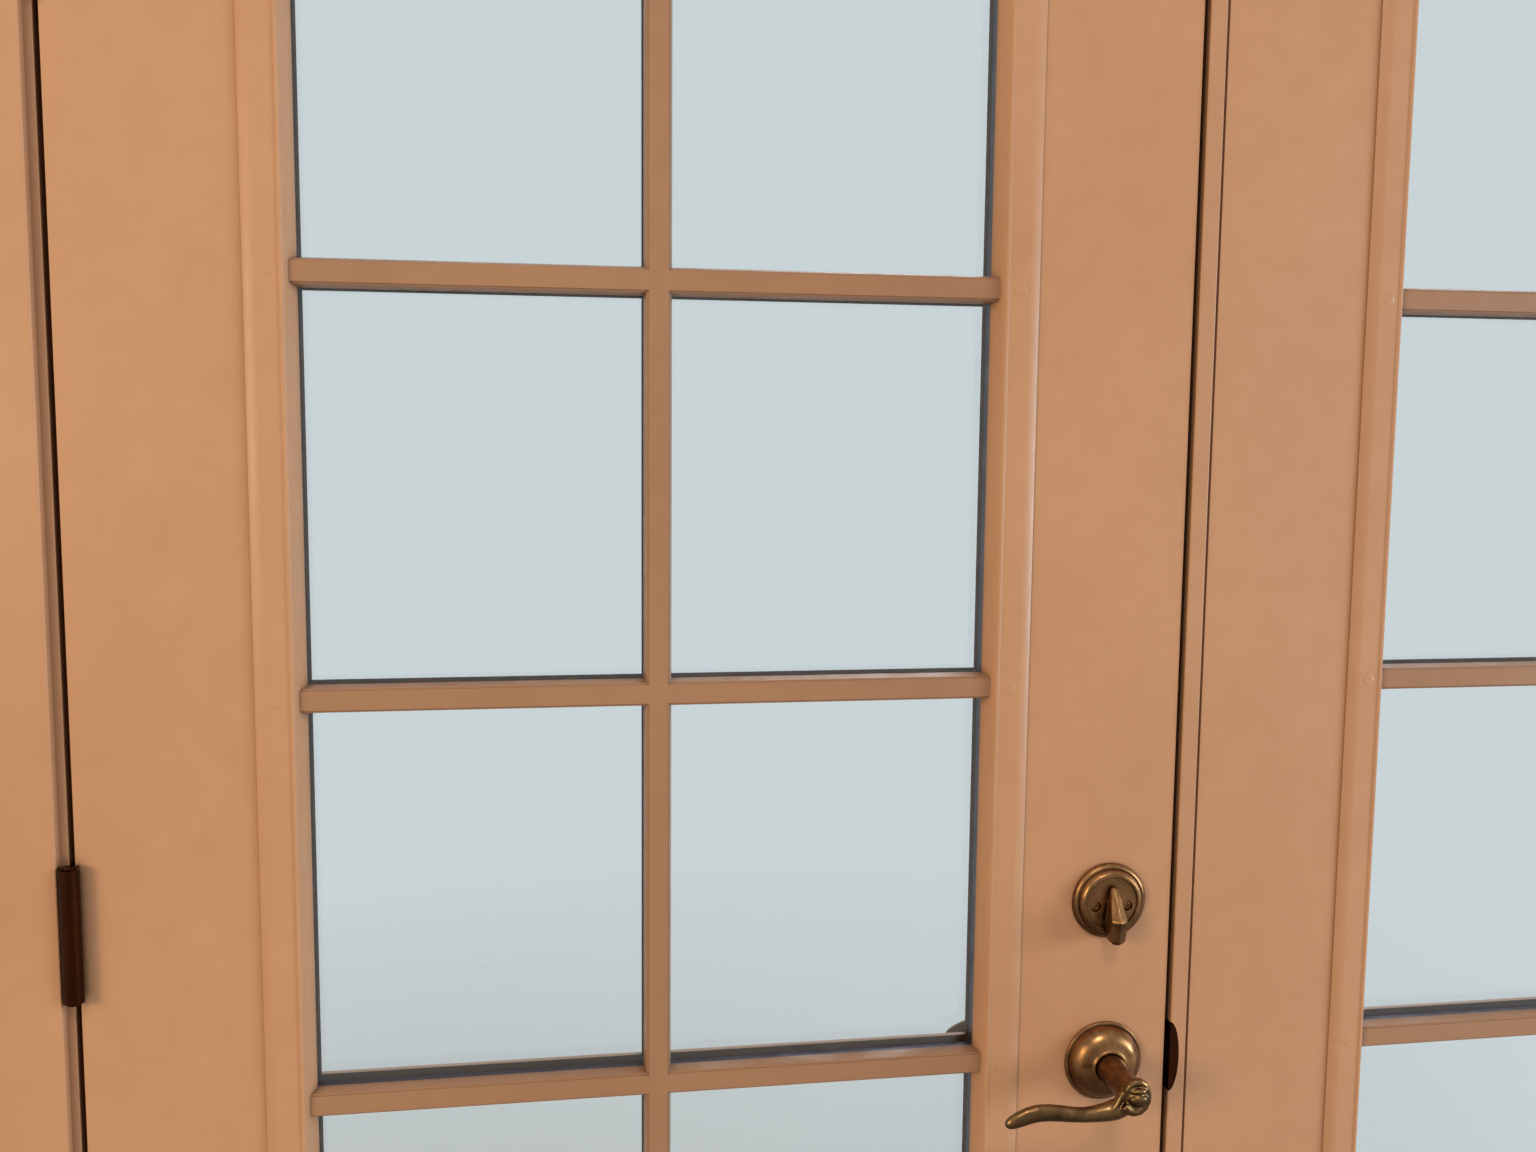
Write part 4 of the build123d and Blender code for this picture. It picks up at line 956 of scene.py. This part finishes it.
class FRENCHDOORS_OT_deadbolt(Operator):
    """Stepped rose, thumbturn, screws, bolt and the keyed cylinder outdoors"""

    bl_idname = "french_doors.deadbolt"
    bl_label = "Deadbolt"

    shaft_hole = 0.0051

    def rose(self, sizes):
        """Two rounded steps around a sunk disc."""
        radius, rise, foot = round_node("thumbturn_rose", ROOM)
        floor = rise - 0.0042
        disc_height, disc_radius = rise - 0.0016, radius - 0.0104
        corners = [
            (self.shaft_hole, 0.0, 0),
            (radius, 0.0, 0),
            (radius, 0.0018, 0.0006),
            (radius - 0.0016, 0.0042, 0.0014),
            (radius - 0.0037, 0.0048, 0.0004),
            (radius - 0.0042, 0.0042, 0.0003),
            (radius - 0.0052, rise * 0.80, 0.0022),
            (radius - 0.0078, rise * 0.98, 0.0016),
            (radius - 0.0100, rise, 0.0005),
            (radius - 0.0107, floor, 0.0003),
            (self.shaft_hole, floor, 0),
        ]
        bm = turned(corners, foot, ROOM, sizes.facets)
        return poured(bm, self.disc(sizes, foot + ROOM * disc_height, disc_radius))

    def disc(self, sizes, centre, radius):
        """The sunk disc, with a hole for the turn's shaft and one over each screw."""
        clearance = 0.0009
        low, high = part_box("rose_screws")
        hole = sizes.screw_head + clearance
        reach = (high.x - low.x) / 2 - sizes.screw_head
        drop = centre.z - (low.z + high.z) / 2
        steps = ((0.93, 0.0004), (1.0, 0.0022))  # share of the last width, depth
        bm = bmesh.new()
        bmesh.ops.create_circle(bm, segments=sizes.facets, radius=radius)
        rims = [(0.0, 0.0, self.shaft_hole), (-reach, -drop, hole), (reach, -drop, hole)]
        walls = []
        for x, rise, size in rims:
            rim = bmesh.ops.create_circle(bm, segments=32, radius=size)["verts"]
            middle = Vector((x, rise, 0))
            bmesh.ops.translate(bm, vec=middle, verts=rim)
            walls.append((middle, edges_among(bm, rim)))
        bmesh.ops.triangle_fill(bm, use_beauty=True, edges=bm.edges[:])
        for middle, edges in walls:
            for narrower, depth in steps:
                made = bmesh.ops.extrude_edge_only(bm, edges=edges)
                rim = corners_in(made)
                edges = edges_among(bm, rim)
                for vert in rim:
                    vert.co = middle + (vert.co - middle) * narrower
                    vert.co.z = -depth
        bmesh.ops.recalc_face_normals(bm, faces=bm.faces)
        bmesh.ops.transform(bm, matrix=standing(centre, ROOM), verts=bm.verts)
        return bm

    def screw_heads(self, sizes):
        """Domed heads with a round socket in each."""
        low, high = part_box("rose_screws")
        radius = sizes.screw_head
        corners = [
            (0.0, -0.0024, 0),
            (0.0022, -0.0024, 0),
            (radius, -0.0012, 0.0002),
            (radius, -0.0009, 0.0003),
            (0.0019, -0.0003, 0.0003),
            (0.0015, -0.0018, 0.0002),
            (0.0, -0.0020, 0),
        ]
        bm = bmesh.new()
        for x in (low.x + radius, high.x - radius):
            poured(bm, turned(corners, Vector((x, low.y, (low.z + high.z) / 2)), ROOM, 32))
        return bm

    def turn(self, sizes):
        """A gabled fin: narrow at the top, ridged in front, cut back below its peak."""
        clearance, soft, crease_angle = 0.0004, 0.0006, math.radians(24)
        shaft_radius, shaft_depth, shaft_height = 0.0049, 0.012, 0.0015
        tail_width, tail_height = 0.002, 0.006
        axis = centre_of("thumbturn_rose")
        low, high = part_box("thumbturn")
        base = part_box("thumbturn_rose")[0].y - clearance
        peak = base - low.y
        top = high.z - axis.z
        bottom = axis.z - low.z
        levels = [  # height on the axis, half width, depth of the ridge, depth of the sides
            (top - 0.0004, 0.0018, 0.0024, 0.0016),
            (top - 0.0016, 0.0028, 0.0042, 0.0026),
            (top * 0.3, 0.0046, 0.0106, 0.0072),
            (-0.0050, 0.0061, 0.0162, 0.0120),
            (-0.0096, 0.0067, peak - 0.0002, 0.0150),
            (-0.0112, 0.0069, peak - 0.0002, 0.0152),
            (-0.0132, 0.0069, 0.0182, 0.0146),
            (-0.0200, 0.0068, 0.0172, 0.0140),
            (-bottom * 0.97, 0.0062, 0.0162, 0.0132),
            (-bottom * 1.06, 0.0044, 0.0148, 0.0120),
            (-bottom * 1.1, 0.0018, 0.0126, 0.0110),
        ]
        bm = bmesh.new()
        gable = ((-1, 0), (-1, 1), (0, 2), (1, 1), (1, 0))  # side, and 0 back, 1 eaves, 2 ridge
        loops = [[bm.verts.new((side, place, 0)) for side, place in gable]]
        bm.faces.new(loops[0])
        for _ in levels[1:]:
            made = bmesh.ops.extrude_edge_only(bm, edges=edges_among(bm, loops[-1]))
            loops.append(corners_in(made))
        for loop, (z, half, ridge, side) in zip(loops, levels):
            for vert in loop:
                depth = (0.0, side, ridge)[round(vert.co.y)]
                vert.co = (vert.co.x * half, -depth, z)
        bmesh.ops.edgeloop_fill(bm, edges=edges_among(bm, loops[-1]))
        bmesh.ops.recalc_face_normals(bm, faces=bm.faces)
        creases = [edge for edge in bm.edges if edge.calc_face_angle(0.0) > crease_angle]
        bmesh.ops.bevel(
            bm, geom=creases, offset=soft, segments=3, profile=0.5, affect="EDGES", material=-1
        )
        centre = Vector((axis.x, base, axis.z))
        bmesh.ops.translate(bm, vec=centre, verts=bm.verts)
        shaft = [
            (0.0, -shaft_depth, 0),
            (shaft_radius, -shaft_depth, 0),
            (shaft_radius, shaft_height, 0.0003),
            (0.0, shaft_height, 0),
        ]
        poured(bm, turned(shaft, centre, ROOM, 32))
        tail = bmesh.ops.create_cube(bm, size=1.0)["verts"]
        tail_length = high.y - base
        bmesh.ops.scale(bm, vec=(tail_width, tail_length, tail_height), verts=tail)
        bmesh.ops.translate(bm, vec=centre + OUTDOORS * (tail_length / 2), verts=tail)
        return bm

    def collar(self, sizes):
        """The cylinder's tapered collar."""
        plug_hole = 0.0071
        radius, rise, foot = round_node("cylinder_collar", OUTDOORS)
        corners = [
            (plug_hole, 0.0, 0),
            (radius, 0.0, 0),
            (radius, 0.0035, 0.0012),
            (radius - 0.0022, 0.0052, 0.0006),
            (0.0228, rise - 0.0018, 0.0016),
            (0.0198, rise, 0.0008),
            (0.0100, rise, 0.0004),
            (0.0096, rise - 0.0006, 0.0002),
            (plug_hole, rise - 0.0006, 0),
        ]
        return turned(corners, foot, OUTDOORS, sizes.facets)

    def execute(self, context):
        sizes = context.scene.french_doors_hardware
        leaf = "active_leaf"
        pieces = [  # name, mesh, body, node and sharpest smooth edge
            ("stepped_rose", self.rose(sizes), leaf, "thumbturn_rose", 48.0),
            ("rose_screw_heads", self.screw_heads(sizes), leaf, "rose_screws", 40.0),
            ("gabled_thumbturn", self.turn(sizes), "thumbturn", "thumbturn", 40.0),
            ("tapered_collar", self.collar(sizes), leaf, "cylinder_collar", 48.0),
        ]
        for name, bm, body, node, sharpest in pieces:
            finished(name, bm, body, ["aged_brass"], [node], sharpest)
        softened("key_plug", sizes.soften, "aged_brass")
        softened("deadbolt", sizes.soften, "plated_steel")
        dress("deadbolt_case", "plated_steel")
        return {"FINISHED"}


class FRENCHDOORS_OT_astragal(Operator):
    """Astragal with its seal, strikes and flush bolts"""

    bl_idname = "french_doors.astragal"
    bl_label = "Astragal"

    def execute(self, context):
        soft = context.scene.french_doors_hardware.soften
        # The astragal's narrow sides, its groove among them, take a darker paint as painted shade.
        softened("astragal", 0.0007, "astragal_paint", shortest=0.02, edge_finish="narrow_side_shaded_paint")
        softened("strikes", soft, "dark_bronze")
        softened("top_flush_bolt", soft, "plated_steel")
        softened("bottom_flush_bolt", soft, "plated_steel")
        dress("astragal_seal", "seal_rubber")
        return {"FINISHED"}


class FRENCHDOORS_OT_surround(Operator):
    """Jambs, casing, outdoor moulding, sill and weatherstrips"""

    bl_idname = "french_doors.surround"
    bl_label = "Frame and trim"

    def execute(self, context):
        trim = [  # node, rounding, finish, shortest edge that is rounded, and segments
            ("left_jamb", 0.0008, "upright_trim_paint", 0.03, 2),
            ("right_jamb", 0.0008, "upright_trim_paint", 0.03, 2),
            ("head_jamb", 0.0008, "level_trim_paint", 0.03, 2),
            ("casing", 0.0008, "upright_trim_paint", 0.03, 2),
            ("brickmould", 0.0022, "upright_trim_paint", 0.02, 4),
            ("sill_substrate", 0.001, "sill_softwood", 0.02, 2),
            ("sill_cap", 0.0008, "sill_oak", 0.02, 2),
            ("sill_deck", 0.0004, "sill_aluminium", 0.02, 2),
        ]
        for piece in trim:
            softened(*piece)
        dress("weatherstrips", "seal_rubber")
        dress("flush_bolt_keepers", "aged_brass")
        return {"FINISHED"}


class FRENCHDOORS_OT_stage(Operator):
    """Floor, pale surroundings, lamps and the camera"""

    bl_idname = "french_doors.stage"
    bl_label = "Stage"

    def floor(self):
        """A plain square floor just under the sill."""
        half_side, drop = 3.8, 0.0005
        bm = bmesh.new()
        bmesh.ops.create_grid(bm, x_segments=1, y_segments=1, size=half_side)
        bmesh.ops.translate(bm, vec=(0, 0, cad_low.z - drop), verts=bm.verts)
        mesh = bpy.data.meshes.new("floor")
        bm.to_mesh(mesh)
        bm.free()
        mesh.materials.append(finish_named("plain_floor"))
        piece = bpy.data.objects.new("floor", mesh)
        bpy.context.scene.collection.objects.link(piece)

    def surroundings(self, scene):
        """Plain light from all round, and a pale tone wherever a ray sees past the doors."""
        world = bpy.data.worlds.new("pale_room")
        scene.world = world
        world.use_nodes = True
        nodes, links = world.node_tree.nodes, world.node_tree.links
        nodes.clear()
        rays = nodes.new("ShaderNodeLightPath")
        seen = rays.outputs["Is Camera Ray"]
        for kind in ("Is Glossy Ray", "Is Transmission Ray"):
            either = nodes.new("ShaderNodeMath")
            either.operation = "MAXIMUM"
            links.new(seen, either.inputs[0])
            links.new(rays.outputs[kind], either.inputs[1])
            seen = either.outputs[0]
        chosen = nodes.new("ShaderNodeMixShader")
        links.new(seen, chosen.inputs["Fac"])
        light, backdrop = (1.0, 0.97, 0.94, 1.0), (0.66, 0.69, 0.73, 1.0)
        for index, tint, strength in ((1, light, 0.26), (2, backdrop, 1.0)):
            tone = nodes.new("ShaderNodeBackground")
            tone.inputs["Color"].default_value = tint
            tone.inputs["Strength"].default_value = strength
            links.new(tone.outputs[0], chosen.inputs[index])
        links.new(chosen.outputs[0], nodes.new("ShaderNodeOutputWorld").inputs["Surface"])

    def lamp(self, name, place, aim, size, power, tint):
        """A soft square lamp aimed at a point."""
        data = bpy.data.lights.new(name, "AREA")
        data.size = size
        data.energy = power
        data.color = tint
        lamp = bpy.data.objects.new(name, data)
        lamp.visible_camera = False
        lamp.visible_transmission = False
        lamp.location = place
        lamp.rotation_euler = (Vector(aim) - Vector(place)).to_track_quat("-Z", "Y").to_euler()
        bpy.context.scene.collection.objects.link(lamp)

    def camera(self, scene):
        """The photograph's viewpoint: turned right, tipped down and rolled a little."""
        photo_width, focal_length = 1536, 1388.2  # both in pixels
        sensor_width = 36.0
        eye = (-0.5299, -1.1266, 1.4866)
        yaw, pitch, roll = (math.radians(value) for value in (9.206, 5.905, 0.516))
        data = bpy.data.cameras.new("viewpoint")
        data.sensor_fit = "HORIZONTAL"
        data.sensor_width = sensor_width
        data.lens = sensor_width * focal_length / photo_width
        data.clip_start = 0.02
        level = math.cos(pitch)
        ahead = Vector((math.sin(yaw) * level, math.cos(yaw) * level, -math.sin(pitch)))
        across = Vector((math.cos(yaw), -math.sin(yaw), 0))
        over = across.cross(ahead)
        right = across * math.cos(roll) + over * math.sin(roll)
        above = over * math.cos(roll) - across * math.sin(roll)
        turn = Matrix((right, above, -ahead)).transposed().to_4x4()
        camera = bpy.data.objects.new("viewpoint", data)
        camera.matrix_world = Matrix.Translation(eye) @ turn
        scene.collection.objects.link(camera)
        scene.camera = camera

    def execute(self, context):
        scene = context.scene
        self.floor()
        self.surroundings(scene)
        lamps = [  # name, place, aim, size, power and tint
            ("room_above", (-0.6, -4.2, 5.6), (0, 0, 1.0), 1.1, 92.0, (1.0, 0.94, 0.86)),
            ("room_left", (-2.9, -2.3, 1.8), (-0.5, 0, 1.2), 0.9, 50.0, (1.0, 0.85, 0.58)),
            ("room_right", (4.6, -2.0, 1.6), (0.0, 0, 1.0), 1.6, 188.0, (0.68, 0.86, 1.0)),
            ("outdoors", (1.5, 3.0, 5.2), (0, 0, 1.0), 3.0, 240.0, (0.86, 0.90, 1.0)),
        ]
        for settings in lamps:
            self.lamp(*settings)
        bpy.data.objects["outdoors"].visible_transmission = True
        self.camera(scene)
        scene.view_settings.view_transform = "Standard"
        return {"FINISHED"}


class FRENCHDOORS_PT_sidebar(Panel):
    """Lists the steps and their settings"""

    bl_idname = "FRENCHDOORS_PT_sidebar"
    bl_label = "French Doors"
    bl_space_type = "VIEW_3D"
    bl_region_type = "UI"
    bl_category = "French Doors"

    def draw(self, context):
        column = self.layout.column()
        for operator in OPERATORS:
            column.operator(operator.bl_idname)
        for attribute, group in SETTINGS.items():
            for name in group.__annotations__:
                column.prop(getattr(context.scene, attribute), name)


OPERATORS = (
    FRENCHDOORS_OT_leaves,
    FRENCHDOORS_OT_glazing,
    FRENCHDOORS_OT_hinges,
    FRENCHDOORS_OT_levers,
    FRENCHDOORS_OT_deadbolt,
    FRENCHDOORS_OT_astragal,
    FRENCHDOORS_OT_surround,
    FRENCHDOORS_OT_stage,
)
CLASSES = (*SETTINGS.values(), *OPERATORS, FRENCHDOORS_PT_sidebar)


def register():
    for each in CLASSES:
        bpy.utils.register_class(each)
    for attribute, group in SETTINGS.items():
        setattr(bpy.types.Scene, attribute, PointerProperty(type=group))


def unregister():
    for attribute in SETTINGS:
        delattr(bpy.types.Scene, attribute)
    for each in reversed(CLASSES):
        bpy.utils.unregister_class(each)


def main():
    """Makes every piece and the stage."""
    register()
    for operator in OPERATORS:
        category, name = operator.bl_idname.split(".")
        getattr(getattr(bpy.ops, category), name)()


if __name__ == "__main__":
    main()
